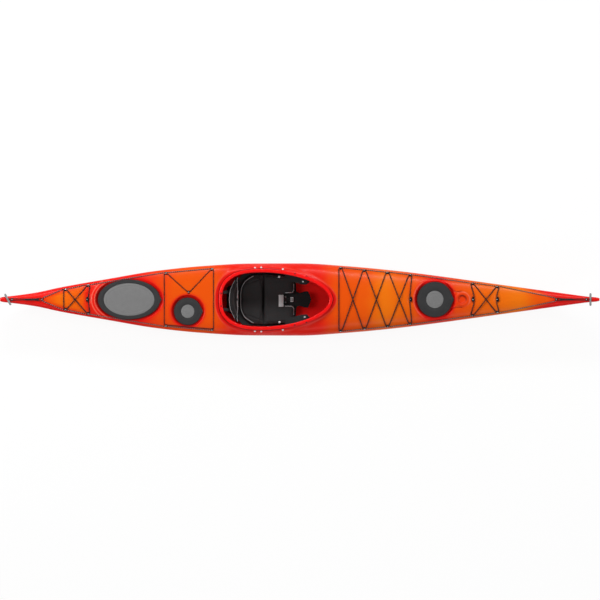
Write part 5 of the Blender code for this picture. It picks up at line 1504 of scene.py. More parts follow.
def crossed(name, keys, cleats, over):
    """A loop that zigzags from side to side up the deck and crosses itself on the way back."""
    sides = ("port", "starboard")
    stops = [side_stop(key, sides[i % 2], 1, False) for i, key in enumerate(keys)]
    far = sides[(len(keys) - 1) % 2]
    if keys[-1] in cleats:
        last = cleats[keys[-1]]
        stops.append(centre_stop(last, -CLEATS[last][1], 1 if far == "starboard" else -1))
    for i, key in reversed(list(enumerate(keys))):
        stops.append(side_stop(key, sides[(i + 1) % 2], -1, False))
    if keys[0] in cleats:
        first = cleats[keys[0]]
        stops.append(centre_stop(first, -CLEATS[first][1], 1))
    return dress(lead(name + "_cord", stops, BUNGEE_RADIUS, True, over), BUNGEE, "boat", "bungee", name)


deck_line("stern_deck_line", ["stern_5", "stern_4", "stern_3", "stern_2"], "guide_stern_1", 1)
deck_line("bow_deck_line", [f"bow_{i}" for i in range(1, 7)], "guide_bow_7", -1)
crossed("fore_bungee", ["bow_1", "bow_2", "bow_3", "bow_4"], {"bow_4": "cleat_bow_4"}, {5: True, 6: True, 7: True})
crossed("bow_bungee", ["bow_5", "bow_6"], {"bow_5": "cleat_bow_5", "bow_6": "cleat_bow_6"}, {3: True})
crossed("stern_bungee", ["stern_2", "stern_3"], {"stern_3": "cleat_stern"}, {3: True})
day = fittings["guide_day_hatch"]
around = [
    side_stop("stern_4", "port", 1, False),
    day.pass_through(day.toward(Vector((0, 1, 0))) * TUNNEL_OFFSET, 1),
    side_stop("stern_5", "port", 1, False),
    side_stop("stern_5", "starboard", -1, False),
    side_stop("stern_4", "starboard", -1, False),
]
dress(lead("aft_bungee_cord", around, CORD / 2, closed=True), BUNGEE, "boat", "bungee", "aft_bungee")


# ---------------------------------------------------------------- carry toggles and the cords that hold them
TOGGLE_CORD, TOGGLE_POST, KNOTS = 0.005, 0.0040, 8
TOGGLE_LENGTH, TOGGLE_HALF_WIDTH, TOGGLE_HALF_HEIGHT = 0.100, 0.0085, 0.0066
TOGGLE_AT = {
    "stern": (Vector((-2.298, 0.0, 0.339458)), 28.0),
    "bow": (Vector((2.288, 0.0, 0.384897)), 0.0),
}


def make_toggle(end):
    """A rounded bar, waisted at its slot and ribbed for the fingers, with a post standing in the slot."""
    centre, swing = TOGGLE_AT[end]
    half, sides = TOGGLE_LENGTH / 2, 28
    rings = [(-half, 0.30), (-half + 0.0012, 0.62), (-half + 0.0035, 0.86), (-half + 0.007, 0.97)]
    y = -half + 0.011
    while y < -0.021:
        rings += [(y, 1.0), (y + 0.0016, 0.93), (y + 0.0032, 1.0)]
        y += 0.0062
    rings += [(-0.019, 1.0), (0.0, 0.97)]
    rings += [(-a, s) for a, s in reversed(rings[:-1])]
    verts = []
    for y, scale in rings:
        wide, high = TOGGLE_HALF_WIDTH * scale, TOGGLE_HALF_HEIGHT * scale
        verts += [(wide * math.cos(a), y, high * math.sin(a)) for a in turns(sides)]
    bar = from_mesh(f"{end}_toggle_bar", verts, stacked(len(rings), sides))
    tool = rod("slot_tool", (0, 0, -0.0038), (0, 0, 0.0038), 0.018, 40)
    cut(tool, rod("post_tool", (0, 0, -0.01), (0, 0, 0.01), TOGGLE_POST, 24))
    cut(bar, tool)
    bar.data.transform(Matrix.Translation(centre) @ Matrix.Rotation(math.radians(swing), 4, "Z"))
    return dress(smooth(bar, 40), GREY, f"{end}_toggle_body", "grey_plastic", f"{end}_toggle")


def make_knot(name, centre, size):
    """Three turns of cord drawn up tight."""
    parts = []
    ring_size = dict(major_segments=22, minor_segments=10, major_radius=size * 0.55, minor_radius=size * 0.38)
    for k, (dx, tilt) in enumerate(((-0.6, 14), (0.0, -10), (0.62, 12))):
        rest()
        bpy.ops.mesh.primitive_torus_add(location=(0, 0, 0), **ring_size)
        ring = started(f"{name}_{k}")
        turn = Matrix.Rotation(math.radians(90 + tilt), 4, "Y") @ Matrix.Rotation(math.radians(tilt * 2), 4, "X")
        ring.data.transform(Matrix.Translation((dx * size * 1.1, 0, 0)) @ Matrix.Diagonal((1, 1, 0.75, 1)) @ turn)
        parts.append(ring)
    knot = joined(name, parts)
    knot.data.transform(Matrix.Translation(centre))
    return smooth(knot, 60)


def toggle_keeper(end, middle, sign):
    """A loop from the last deck guide, through the tip's two tunnels and round the toggle's post."""
    radius = TOGGLE_CORD / 2
    tip, last = ends[end], fittings[middle]
    tunnel = last.toward(Vector((1, 0, 0))) * sign * TUNNEL_OFFSET
    start = last.pass_through(tunnel, 1, TOGGLE_CORD)
    knot = Vector((last.centre.x + sign * 0.080, 0, 0))
    knot.z = on_deck.top(knot.x, 0) + radius + 0.0012
    side = Vector((0, radius + 0.0004, 0))
    post = TOGGLE_AT[end][0]
    port = tip.toward(Vector((0, 1, 0))) * TUNNEL_OFFSET
    to_port = tip.pass_through(port, sign, TOGGLE_CORD)
    to_starboard = tip.pass_through(-port, -sign, TOGGLE_CORD)
    turn = TOGGLE_POST + radius + 0.0005
    angles = [math.pi * (0.5 - share) for share in spread(0, 1, 12)]
    loop = [post + Vector((sign * turn * math.cos(a), turn * math.sin(a), 0)) for a in angles]
    gap = Vector((sign * 0.0085, 0, 0))
    share = (CORD_BEND + tip.half_length * 2) / (2 * (CORD_BEND + tip.half_length))
    into, out = to_port[0].lerp(to_port[1], share), to_starboard[1].lerp(to_starboard[0], share)
    level = Vector((-sign * 0.0125, 0, 0))
    points = [start[0], start[1], knot + side - gap, knot + side + gap, to_port[0], into]
    points += [loop[0] + level, *loop, loop[-1] + level]
    points += [out, to_starboard[1], knot - side + gap, knot - side - gap]
    cord = cord_mesh(f"{end}_toggle_keeper_cord", filleted(points, 0.004, True), radius, True)
    dress(cord, LINE_PLAIN, "boat", "deck_line", f"{end}_toggle_keeper")
    for k in range(KNOTS):
        place = knot + Vector((-0.048 + 0.0135 * k, 0.0007 * (-1) ** k, 0))
        place.z = on_deck.top(place.x, 0) + 0.0066
        size = 0.0078 + 0.0020 * math.sin(math.pi * (k + 0.5) / KNOTS)
        dress(make_knot(f"{end}_keeper_knot_{k}", place, size), LINE_PLAIN, "boat", "deck_line")


LINE_PLAIN = cord_finish("keeper_cord", (0.010, 0.012, 0.012), (0.030, 0.034, 0.034))
for end, middle, sign in (("stern", "guide_stern_1", -1), ("bow", "guide_bow_7", 1)):
    make_toggle(end)
    toggle_keeper(end, middle, sign)


# ---------------------------------------------------------------- seat
PAN_WALL, PAN_CENTRE_Z = 0.004, 0.040
pan_half_width = monotone_curve(
    [(-0.575, 0.095), (-0.51, 0.130), (-0.44, 0.200), (-0.26, 0.210), (-0.10, 0.200), (-0.036, 0.186)]
    + [(-0.026, 0.060), (0.0, 0.0505), (0.045, 0.0640), (0.085, 0.0655)]
)
CUSHION_X, CUSHION_SWEEP, CUSHION_THICKNESS, CUSHION_LIFT = (-0.474, -0.289), 0.100, 0.030, 0.0034
LEG_X, LEG_THICKNESS, LEG_NOTCH_X, LEG_NOTCH_SHARE = (-0.283, -0.042), 0.032, -0.128, 0.26
BACK_X, BACK_LEAN, BACK_HALF_WIDTH = -0.515, 0.036, 0.180
BACK_THICKNESS, BACK_HEIGHT, BACK_ARCH, BACK_FOOT, BACK_ROLL = 0.030, 0.165, 0.058, (0.010, 0.110), 0.022


def pan_top_z(x, y):
    return PAN_CENTRE_Z + 0.7 * y * y + 12 * y**4 + 0.10 * max(0.0, x + 0.30) ** 2 + 0.35 * max(0.0, -0.42 - x) ** 2


def grid_faces(rows, columns, flip=False):
    faces = []
    for i in range(rows - 1):
        for j in range(columns - 1):
            a = (i * columns + j, (i + 1) * columns + j, (i + 1) * columns + j + 1, i * columns + j + 1)
            faces.append(a[::-1] if flip else a)
    return faces


def closed_sheet(name, top, low, degrees=40):
    """A solid between two equal grids of points, joined round their edges."""
    rows, columns = len(top), len(top[0])
    verts = [p for row in top for p in row] + [p for row in low for p in row]
    n = rows * columns
    faces = grid_faces(rows, columns) + [tuple(i + n for i in f) for f in grid_faces(rows, columns, True)]
    edge = [(0, j) for j in range(columns)] + [(i, columns - 1) for i in range(1, rows)]
    edge += [(rows - 1, j) for j in reversed(range(columns - 1))] + [(i, 0) for i in reversed(range(1, rows - 1))]
    for (i, j), (k, m) in zip(edge, edge[1:] + edge[:1]):
        faces.append((i * columns + j, k * columns + m, n + k * columns + m, n + i * columns + j))
    return faced_out(from_mesh(name, verts, faces, degrees=degrees))


def make_pan():
    top = []
    for x in spread(-0.575, 0.085, 88):
        row = []
        for s in spread(-1, 1, 36):
            ahead, y = x + max(0.0, (x - 0.035) / 0.050) * (0.006 - 0.026 * abs(s)), s * pan_half_width(x)
            row.append((ahead, y, pan_top_z(ahead, y)))
        top.append(row)
    low = [[(x, y, z - PAN_WALL) for x, y, z in row] for row in top]
    pan = bevelled(closed_sheet("seat_pan_shell", top, low), 0.0011, 2, 60)
    parts = [pan]
    for side in (-1, 1):
        start, end, y = -0.45, -0.08, side * 0.095
        base = max(in_hull.floor(x, y + e * 0.009) for x in (start, -0.2, end) for e in (-1, 1)) + 0.0006
        high = min(pan_top_z(x, y - side * 0.009) for x in (start, -0.3, end)) - PAN_WALL / 2
        runner = block(f"runner_{side}", ((start + end) / 2, y, (base + high) / 2), (end - start, 0.018, high - base))
        parts.append(bevelled(runner, 0.002, 2))
    return dress(smooth(joined("seat_pan_shell", parts), 40), BLACK, "boat", "black_plastic", "seat_pan")


def cushion_rise(edge_gap, thickness, radius=0.022):
    t = min(1.0, max(0.0, edge_gap / radius))
    side = 0.42 + 0.50 * math.sqrt(1 - (1 - t) ** 2)
    return thickness * (side + 0.08 * smoothstep(edge_gap / 0.07))


def rear_edge(v):
    return CUSHION_X[0] + CUSHION_SWEEP * abs(v) ** 4.5


def leg_front(v):
    return LEG_NOTCH_X + (LEG_X[1] - LEG_NOTCH_X) * smoothstep((abs(v) - LEG_NOTCH_SHARE + 0.04) / 0.08)


def pad_blank(name, rear, front, thickness, shrink, joint):
    """The pad before it is filled: a shape a little smaller than the finished one, and fuller along its joint."""
    steps = [0.5 - 0.5 * math.cos(math.pi * i / 40) for i in range(41)]
    shares = [math.sin(math.pi / 2 * v) * 0.5 + v * 0.5 for v in spread(-1, 1, 64)]
    top, low = [], []
    for u in steps:
        upper, under = [], []
        for v in shares:
            start, end = rear(v) + shrink, front(v) - shrink
            x = start + (end - start) * u
            y = v * (pan_half_width(x) - 0.012 - shrink)
            gaps = [u * (end - start), (1 - u) * (end - start)]
            gaps[joint] *= 3.5
            edge = min(*gaps, (1 - abs(v)) * 0.19)
            z = pan_top_z(x, y) + FIT_GAP + CUSHION_LIFT * abs(v) + 0.0006
            under.append((x, y, z))
            upper.append((x, y, z + cushion_rise(edge, thickness - shrink * 1.5, 0.024) + 0.0002))
        top.append(upper)
        low.append(under)
    return closed_sheet(name, top, low, degrees=80)


CLOTH_FRAMES = 20


def filled(obj, cap, voxel=0.005, pressure=4.0):
    """Blows the blank up like a stuffed cover: cloth under pressure, with a limit on how far a point may move."""
    pick(obj)
    remesh = obj.modifiers.new("remesh", "REMESH")
    remesh.mode, remesh.voxel_size = "VOXEL", voxel
    apply_all(obj)
    start = read_points(obj)
    cloth = obj.modifiers.new("cloth", "CLOTH")
    cloth.settings.use_pressure = True
    cloth.settings.uniform_pressure_force = pressure
    cloth.settings.effector_weights.gravity = 0
    cloth.settings.tension_stiffness = cloth.settings.compression_stiffness = 12
    scene = bpy.context.scene
    for number in range(1, CLOTH_FRAMES + 1):
        scene.frame_set(number)
    moved = read_points(obj.evaluated_get(bpy.context.evaluated_depsgraph_get())) - start
    far = np.linalg.norm(moved, axis=1, keepdims=True)
    moved *= np.minimum(1.0, cap / np.maximum(far, 1e-9))
    obj.modifiers.remove(cloth)
    scene.frame_set(1)
    write_points(obj, start + moved)
    soft = obj.modifiers.new("soft", "SUBSURF")
    soft.levels = soft.render_levels = 1
    return apply_all(obj)


def sewn(obj, sink):
    """Draws the top down along its seams, and keeps the underside clear of what it lies on."""
    co = read_points(obj)
    for i in range(len(co)):
        x, y, z = (float(c) for c in co[i])
        low = pan_top_z(x, y) + 0.0008
        share = min(1.0, max(0.0, (z - low) / 0.014))
        co[i, 2] = max(z - sink(x, y) * share, low)
    write_points(obj, co)
    return smooth(obj, 70)


def near(distance, depth, width):
    return depth * math.exp(-((distance / width) ** 2))


def slant_seam(x):
    return 0.114 + 0.695 * max(0.0, x + 0.4655) ** 1.478


def bowed_seam(y):
    return -0.2935 - 0.030 * (y / 0.19) ** 2


def cushion_seams(x, y):
    """Two seams that slant outward and forward, and one that bows across the front."""
    slant = near(abs(y) - slant_seam(x), 0.0036, 0.0050) if x > -0.460 else 0.0
    return slant + near(x - bowed_seam(y), 0.0042, 0.0045)


def leg_seams(x, y):
    return near(abs(y) - slant_seam(x), 0.0030, 0.0045)


PAD_SHRINK, PAD_CAP = 0.0002, 0.006
blank = pad_blank("seat_cushion_pad", rear_edge, lambda v: CUSHION_X[1], CUSHION_THICKNESS, PAD_SHRINK, 1)
seat_cushion = sewn(filled(blank, PAD_CAP), cushion_seams)
dress(seat_cushion, MESH_CLOTH, "boat", "seat_fabric", "seat_cushion")
blank = pad_blank("leg_support_pad", lambda v: LEG_X[0], leg_front, LEG_THICKNESS, PAD_SHRINK, 0)
leg_support = sewn(filled(blank, PAD_CAP), leg_seams)
dress(leg_support, MESH_CLOTH, "leg_support_body", "seat_fabric", "leg_support")
on_cushion, on_legs = Skin(seat_cushion), Skin(leg_support)


def softened(points, rounds):
    """The same line, drawn smoother."""
    for _ in range(rounds):
        middle = [(a + b * 2 + c) / 4 for a, b, c in zip(points, points[1:], points[2:])]
        points = [points[0]] + middle + [points[-1]]
    return points


def pipe(name, skin, plan, body, material=None, radius=0.0024):
    """Piping or thread laid on a pad along a line given in plan, and sunk a little into it."""
    hits = [skin.point(x, y) for x, y in plan]
    points = [hit + Vector((0, 0, radius * 0.3)) for hit in hits if hit is not None]
    cord = cord_mesh(name, softened(points, 2), radius, False, 8)
    return dress(cord, material or PIPING, body, "seat_fabric")


rear_line = []
for v in spread(-1, 1, 90):
    x = rear_edge(v)
    rear_line.append((x + 0.0095, v * 0.95 * (pan_half_width(x) - 0.012)))
pipe("cushion_rear_piping", on_cushion, rear_line, "boat")
bowed = [(bowed_seam(0.186 * v), 0.186 * v) for v in spread(-1, 1, 80)]
pipe("cushion_bowed_seam", on_cushion, bowed, "boat", THREAD, 0.0020)
NOTCH_SIDE, NOTCH_START, NOTCH_TURN, FRONT_X = 0.0530, LEG_NOTCH_X + 0.012, 0.024, LEG_X[1] - 0.0050
for side, word in ((1, "port"), (-1, "starboard")):
    seam = [(x, side * slant_seam(x)) for x in spread(-0.452, -0.294, 40)]
    pipe(f"cushion_seam_{word}", on_cushion, seam, "boat", THREAD, 0.0020)
    seam = [(x, side * slant_seam(x)) for x in spread(-0.278, -0.244, 12)]
    pipe(f"leg_seam_{word}", on_legs, seam, "leg_support_body", THREAD, 0.0020)
    line = [(x, side * NOTCH_SIDE) for x in spread(NOTCH_START, FRONT_X - NOTCH_TURN, 20)]
    for a in spread(0, math.pi / 2, 10)[1:]:
        along, out = NOTCH_TURN * math.sin(a), NOTCH_TURN * (1 - math.cos(a))
        line.append((FRONT_X - NOTCH_TURN + along, side * (NOTCH_SIDE + out)))
    line += [(FRONT_X, side * (NOTCH_SIDE + NOTCH_TURN + y)) for y in spread(0, 0.045, 12)[1:]]
    pipe(f"leg_notch_piping_{word}", on_legs, line, "leg_support_body")
make_pan()


def back_x(v, h):
    """The backrest's mid-surface: nearly straight along its foot and swept forward at its head."""
    return BACK_X + (0.018 + 0.054 * h) * v * v - BACK_LEAN * h


def make_backrest():
    """A padded band, swept forward at its sides, leaning back, and stitched across its middle."""
    foot = max(pan_top_z(BACK_X, y) for y in (-0.055, 0.0, 0.055)) + FIT_GAP
    front, back = [], []
    shrink = 0.0025
    for v in spread(-1, 1, 56):
        low = foot + 0.006 + BACK_ARCH * v * v + shrink
        high = foot + BACK_HEIGHT - 0.030 * v * v - shrink
        face, rear = [], []
        for h in spread(0, 1, 34):
            edge = min(h * (high - low), (1 - h) * (high - low), (1 - abs(v)) * BACK_HALF_WIDTH)
            thick = cushion_rise(edge, BACK_THICKNESS - shrink) * (1 - 0.35 * v**4)
            x = back_x(v, h)
            z = low + (high - low) * h
            y = v * (BACK_HALF_WIDTH - shrink)
            rear.append((x - thick * 0.45, y, z))
            face.append((x + thick * 0.55 + BACK_ROLL * (1 - v * v) * (1 - smoothstep(h / 0.55)), y, z))
        front.append(face)
        back.append(rear)
    pad = filled(closed_sheet("backrest_pad", front, back, degrees=80), 0.005)
    co = read_points(pad)
    for i in range(len(co)):
        x, y, z = (float(c) for c in co[i])
        v = y / BACK_HALF_WIDTH
        low = foot + 0.006 + BACK_ARCH * v * v
        high = foot + BACK_HEIGHT - 0.030 * v * v
        h = (z - low) / max(0.01, high - low)
        middle = back_x(v, h)
        if x > middle:
            seams = near((h - 0.46) * (high - low), 0.004, 0.0045)
            seams += near(abs(abs(v) - 0.62) * BACK_HALF_WIDTH, 0.003, 0.0045)
            co[i, 0] = x - seams
        co[i, 2] = max(z, foot + 0.0042)
    write_points(pad, co)
    smooth(pad, 70)
    dress(pad, CLOTH, "backrest_body", "seat_fabric", "backrest")
    pivot, half = Vector((BACK_X, 0, foot + BACK_FOOT[0])), Vector((0, BACK_FOOT[1] / 2, 0))
    bar = rod("backrest_foot_bar", pivot - half, pivot + half, BACK_FOOT[0] - 0.0002, 32)
    dress(smooth(bevelled(bar, 0.0015, 2)), BLACK, "backrest_body", "black_plastic")
    skin = Skin(pad)
    rear_line, front_line = [], []
    for v in spread(-0.955, 0.955, 64):
        hits = [skin.point(BACK_X - 0.080 + 0.002 * k, v * BACK_HALF_WIDTH) for k in range(90)]
        hits = [hit for hit in hits if hit is not None]
        rear_line.append(hits[2] + Vector((0, 0, 0.0006)))
        front_line.append(hits[-3] + Vector((0, 0, 0.0006)))
    for word, line in (("rear", rear_line), ("front", front_line)):
        cord = cord_mesh(f"backrest_{word}_piping", softened(line, 3), 0.0026, False, 8)
        dress(cord, PIPING, "backrest_body", "seat_fabric")
    return skin, foot


on_back, back_foot = make_backrest()


# ---------------------------------------------------------------- straps of the seat
def webbing(name, line, across, width, thickness=0.0016):
    """A flat strap with rounded edges along a line, whose side points across."""
    verts = []
    half, low = width / 2, thickness / 2
    section = [(-half, 0.0), (-half + low, low), (half - low, low), (half, 0.0), (half - low, -low), (-half + low, -low)]
    side = Vector(across).normalized()
    for i, point in enumerate(line):
        ahead = line[min(i + 1, len(line) - 1)] - line[max(i - 1, 0)]
        up = ahead.normalized().cross(side).normalized()
        verts += [point + side * a + up * b for a, b in section]
    return smooth(faced_out(from_mesh(name, verts, stacked(len(line), len(section)), degrees=50)), 50)


def eased(points, rounds=3):
    """The same line with its corners drawn soft."""
    points = [Vector(p) for p in points]
    for _ in range(rounds):
        finer = [points[0]]
        for a, b in zip(points, points[1:]):
            finer += [a.lerp(b, 0.25), a.lerp(b, 0.75)]
        points = finer + [points[-1]]
    return points


# Two straps tie the backrest to the cockpit's aft edge.
for word, y, y_rim in (("port", 0.060, 0.056), ("starboard", -0.082, -0.078)):
    v = y / BACK_HALF_WIDTH
    high = back_foot + BACK_HEIGHT - 0.030 * v * v
    top = Vector((back_x(v, 0.80) - 0.0165, y, back_foot + (high - back_foot) * 0.80))
    edge_x = COCKPIT_WIDEST_X - COCKPIT_AFT + 0.0055
    edge_z = rim_seat_z(edge_x)
    line = eased([
        Vector((edge_x + 0.0010, y_rim, edge_z - 0.022)),
        Vector((edge_x + 0.0012, y_rim, edge_z - 0.004)),
        Vector((edge_x + 0.014, y_rim, edge_z - 0.016)),
        top + Vector((-0.018, 0, 0.012)),
        top + Vector((-0.0015, 0, 0.006)),
        top + Vector((0.002, 0, -0.030)),
    ])
    strap = webbing(f"backrest_strap_{word}", line, (0, 1, 0), 0.024)
    strap.data.materials.append(STRAP)
    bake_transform(strap)
    plate = block(f"strap_anchor_{word}", (edge_x - 0.0015, y_rim, edge_z - 0.018), (0.0030, 0.030, 0.016))
    dress(smooth(bevelled(plate, 0.0009, 2)), BLACK, "boat", "black_plastic")

# Two bands of grey webbing on the backrest's face.
for k, (y0, y1) in enumerate(((0.009, 0.070), (-0.009, -0.058))):
    line = []
    for y in spread(y0, y1, 12):
        hit = on_back.hit((BACK_X + 0.12, y, back_foot + 0.050), (-1, 0, 0))
        line.append(hit + Vector((0.0010, 0, 0)))
    band = webbing(f"backrest_band_{k}", line, (-0.5, 0, 1), 0.014, 0.0018)
    dress(band, PALE_STRAP, "backrest_body", "seat_fabric")

# The pull strap sewn to the leg support, which runs down into the notch and through its buckle.
tab_line = [on_legs.point(-0.147, y) + Vector((0, 0, 0.0028)) for y in spread(-0.0565, 0.0355, 16)]
tab = webbing("leg_support_tab", tab_line, (1, 0, 0), 0.038, 0.0022)
dress(tab, PALE_STRAP, "leg_support_body", "seat_fabric")
down = []
for x, pad_x, lift in ((-0.143, -0.143, 0.0012), (-0.136, -0.136, 0.0022), (-0.128, -0.138, 0.0010)):
    down.append(Vector((x, 0, on_legs.top(pad_x, 0) + lift)))
for x, lift in ((-0.119, 0.016), (-0.100, 0.004), (-0.062, 0.0036)):
    down.append(Vector((x, 0, pan_top_z(x, 0) + lift)))
pull = webbing("leg_support_strap", eased(down), (0, 1, 0), 0.026)
pull.data.materials.append(STRAP)
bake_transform(pull)


PALE_PLASTIC = moulded_finish("buckle_plastic", (0.62, 0.63, 0.64), 0.4)
POST_GREY = moulded_finish("strap_post_plastic", (0.20, 0.20, 0.20), 0.5)


def make_buckle(name, centre):
    """A ladder-lock buckle: a rounded frame with two bars."""
    body = topped(block(name, centre, (0.022, 0.036, 0.0052)), 0.0016, 0.0010)
    for dx in (-0.0055, 0.0045):
        cut(body, block("window", Vector(centre) + Vector((dx, 0, 0)), (0.0058, 0.024, 0.03)))
    return smooth(body, 40)


def topped(obj, inward, upward):
    """Insets a block's top and lifts it, or sinks it, and rounds the edges."""
    choose_faces(obj, lambda c, n: n.z > 0.9)
    bpy.ops.mesh.inset(thickness=inward, depth=0.0)
    bpy.ops.transform.translate(value=(0, 0, upward))
    rest()
    return bevelled(obj, 0.0012, 2)


buckle = make_buckle("leg_support_buckle", (-0.062, 0.0, pan_top_z(-0.062, 0.0) + 0.0066))
dress(buckle, PALE_PLASTIC, "boat", "grey_plastic")
for word, side in (("port", 1), ("starboard", -1)):
    place = (-0.112, side * 0.0215, pan_top_z(-0.112, 0.02) + 0.0052)
    post = topped(block(f"strap_post_{word}", place, (0.013, 0.014, 0.0110)), 0.0025, -0.0016)
    dress(smooth(post), POST_GREY, "boat", "grey_plastic")
for k, (x, y) in enumerate(((-0.162, 0.178), (-0.159, -0.178))):
    place = Matrix.Translation(on_legs.point(x, y) + Vector((0, 0, -0.0006)))
    add_screw(f"leg_support_rivet_{k}", place @ Matrix.Scale(2.1, 4), BRIGHT, "leg_support_body")


# ---------------------------------------------------------------- thigh braces, rim and deck bolts
BRACE_X, BRACE_THICKNESS, BRACE_REACH, BRACE_DROP = (-0.116, 0.077), 0.008, 0.050, 0.026


def make_brace(side):
    """A lens-shaped plate under the rim, dished where the knee bears on it."""
    top, low = [], []
    for k in range(41):
        i = 5 * k / 40
        x = BRACE_X[0] + (BRACE_X[1] - BRACE_X[0]) * i / 5
        share = (x - COCKPIT_WIDEST_X) / COCKPIT_FORE
        edge = COCKPIT_HALF_WIDTH * (1 - share**COCKPIT_FORE_POWER) ** (1 / COCKPIT_FORE_POWER)
        reach = BRACE_REACH * math.sin(math.pi * (i + 0.9) / 6.8) ** 0.5 * (1 - 0.62 * smoothstep((i - 4.0) / 1.0) ** 2)
        z = rim_seat_z(x) - WALL - 0.0014
        upper, under = [], []
        for j in range(23):
            t = j / 22
            out = 0.016 - (0.016 + reach) * t
            drop = BRACE_DROP * smoothstep((t - 0.15) / 0.85)
            thin = min(1.0, (1.02 - t) / 0.10, (k + 0.6) / 3.0, (40.6 - k) / 3.0)
            round_over = 0.5 * (1 - math.sqrt(max(0.0, 1 - (1 - max(0.0, thin)) ** 2)))
            dish = 0.0012 * math.sin(math.pi * t) * math.sin(math.pi * k / 40)
            upper.append((x, side * (edge + out), z - drop - BRACE_THICKNESS * round_over - dish))
            under.append((x, side * (edge + out), z - drop - BRACE_THICKNESS * (1 - round_over)))
        top.append(upper)
        low.append(under)
    return smooth(closed_sheet("thigh_brace_plate", top, low), 60)


for word, side, (x, y) in (("port", 1, (0.0256, 0.142)), ("starboard", -1, (0.039, -0.139))):
    brace = make_brace(side)
    brace.name = brace.data.name = f"thigh_brace_{word}_plate"
    dress(brace, BLACK, "boat", "black_plastic", f"thigh_brace_{word}")
    place = Matrix.Translation(Skin(brace).point(x, y) + Vector((0, 0, -0.0005)))
    add_screw(f"thigh_brace_{word}_screw_0", place @ Matrix.Scale(1.7, 4), BRIGHT)


RIM_BOLTS = [(-0.037, 0.203), (0.053, 0.182), (-0.040, -0.201), (0.053, -0.180), (-0.619, 0.048), (-0.619, -0.052)]
for k, (x, y) in enumerate(RIM_BOLTS):
    cap = disc(f"rim_bolt_{k}", (0, 0, 0), 0.0058, 28)
    stepped(cap, [(0.0, 0.0010), (0.0008, 0.0006), (0.0012, 0.0002), (0.0006, -0.0008), (0.0010, -0.0004)])
    cap.data.transform(Matrix.Translation(on_deck.point(x, y) + Vector((0, 0, -0.0004))))
    dress(smooth(cap, 40), BLACK, "boat", "black_plastic")
DECK_BOLTS = [(x, side * y) for side in (1, -1) for x, y in ((-0.353, 0.2505), (-0.303, 0.2525), (-0.133, 0.2395))]
for k, (x, y) in enumerate(DECK_BOLTS):
    lean = math.atan2(on_deck.top(x, y + 0.004) - on_deck.top(x, y - 0.004), 0.008)
    place = Matrix.Translation(on_deck.point(x, y)) @ Matrix.Rotation(lean, 4, "X")
    place = place @ Matrix.Translation((0, 0, -0.0005)) @ Matrix.Scale(1.9, 4)
    add_screw(f"deck_bolt_{k}", place, BRIGHT)


# ---------------------------------------------------------------- footrests
RAIL_X, RAIL_Z, RAIL_SIZE, TOOTH_PITCH = (0.400, 0.780), 0.112, (0.010, 0.022), 0.012
PEG_START, PEG_SLIDER, PEG_REACH, PEG_PEDAL, PEG_HEIGHT = 0.200, (0.060, 0.022), 0.085, 0.010, 0.086


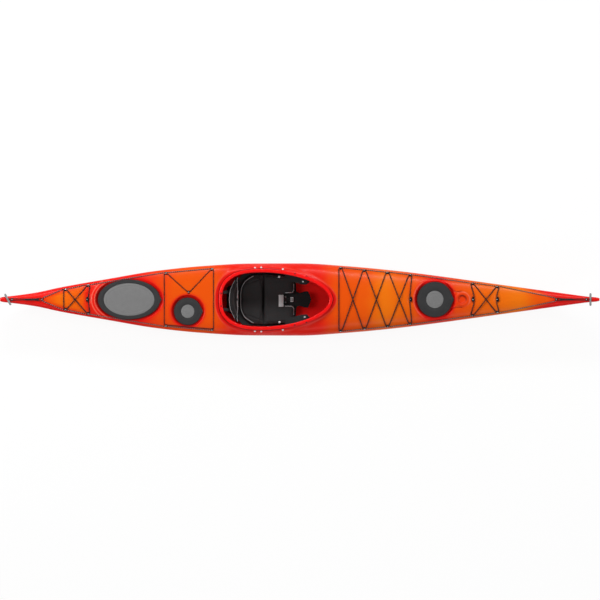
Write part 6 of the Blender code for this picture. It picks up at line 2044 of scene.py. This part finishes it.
def make_footrest(side, word):
    """A toothed aluminium channel along the hull's side, and the pedal that slides on it."""
    thick, tall = RAIL_SIZE
    tips = []
    for x in RAIL_X:
        heights = (RAIL_Z - tall / 2, RAIL_Z, RAIL_Z + tall / 2)
        reach = min(abs(in_hull.side(x + dx, z, side)) for z in heights for dx in (-0.002, 0.0, 0.002))
        tips.append(Vector((x, side * (reach - FIT_GAP - 0.0004), RAIL_Z)))
    along, length = (tips[1] - tips[0]).normalized(), (tips[1] - tips[0]).length
    turn = Matrix((along, Vector((along.y, -along.x, 0)) * side, Vector((0, 0, 1)))).transposed().to_4x4()
    turn.translation = tips[0]
    rail = bevelled(block(f"foot_rail_{word}_channel", (length / 2, thick / 2, 0), (length, thick, tall)), 0.0010, 2)
    cut(rail, bevelled(block("groove", (length / 2, thick, 0), (length - 0.02, 0.0060, tall * 0.42)), 0.0008, 1))
    teeth = []
    for k in range(int((length - 0.05) / TOOTH_PITCH)):
        place = (0.03 + k * TOOTH_PITCH, thick + 0.001, tall * 0.38)
        teeth.append(block(f"tooth_{k}", place, (0.005, 0.0045, 0.0036)))
    cut(rail, joined("teeth", teeth))
    dress(smooth(turned_in(rail, turn), 35), STEEL_RAIL, "boat", "aluminium", f"foot_rail_{word}")
    for k, u in enumerate((0.018, length - 0.018)):
        place = Matrix.Translation((u, thick - 0.0036, 0)) @ Matrix.Rotation(math.radians(-90), 4, "X")
        turned_in(add_screw(f"foot_rail_{word}_screw_{k}", place), turn)
    foot = thick + FIT_GAP + 0.0002
    slide, depth = PEG_SLIDER
    end = PEG_START + slide
    peg = block(f"foot_peg_{word}_slider", (PEG_START + slide / 2, foot + depth / 2, 0), (slide, depth, tall))
    bevelled(peg, 0.0020, 3)
    place = (end - PEG_PEDAL / 2 + 0.0005, foot + (depth - 0.004 + PEG_REACH) / 2, 0)
    pedal = block("pedal", place, (PEG_PEDAL + 0.001, PEG_REACH - depth + 0.004, PEG_HEIGHT))
    cut(peg, bevelled(pedal, 0.0034, 3), "UNION")
    ribs = []
    for k in range(7):
        place = (end - PEG_PEDAL + 0.0004, foot + depth + 0.031, -PEG_HEIGHT * 0.40 + k * 0.0115)
        ribs.append(bevelled(block(f"rib_{k}", place, (0.0020, 0.050, 0.0036)), 0.0007, 1))
    cut(peg, joined("ribs", ribs))
    dress(smooth(turned_in(peg, turn), 40), BLACK, f"foot_peg_{word}_body", "black_plastic", f"foot_peg_{word}")


STEEL_RAIL = steel_finish("rail_aluminium")
for side, word in ((1, "port"), (-1, "starboard")):
    make_footrest(side, word)


# ---------------------------------------------------------------- skeg and bulkheads
def bevelled_copy(node, name, width, segments, degrees=35):
    """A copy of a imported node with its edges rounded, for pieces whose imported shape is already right."""
    obj = pick(copy_at(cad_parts[node], Matrix.Identity(4), name))
    bpy.ops.object.mode_set(mode="EDIT")
    bpy.ops.mesh.select_all(action="SELECT")
    bpy.ops.mesh.remove_doubles(threshold=0.00002)
    bpy.ops.mesh.dissolve_limited(angle_limit=math.radians(1.0))
    rest()
    bevelled(obj, width, segments, degrees)
    return smooth(obj, 40)


dress(bevelled_copy("skeg_box", "skeg_box_shell", 0.0014, 2), BLACK, "boat", "black_plastic", "skeg_box")
SKEG = moulded_finish("skeg_plastic", (0.020, 0.020, 0.021), 0.38, 500.0)
dress(bevelled_copy("skeg_blade", "skeg_blade_plate", 0.0012, 2), SKEG, "skeg_body", "black_plastic", "skeg_blade")
for name in ("aft", "mid", "fore"):
    dress(bevelled_copy(f"bulkhead_{name}", f"bulkhead_{name}_foam", 0.0008, 1), FOAM, "boat", "foam", f"bulkhead_{name}")
bpy.data.objects.remove(screw)
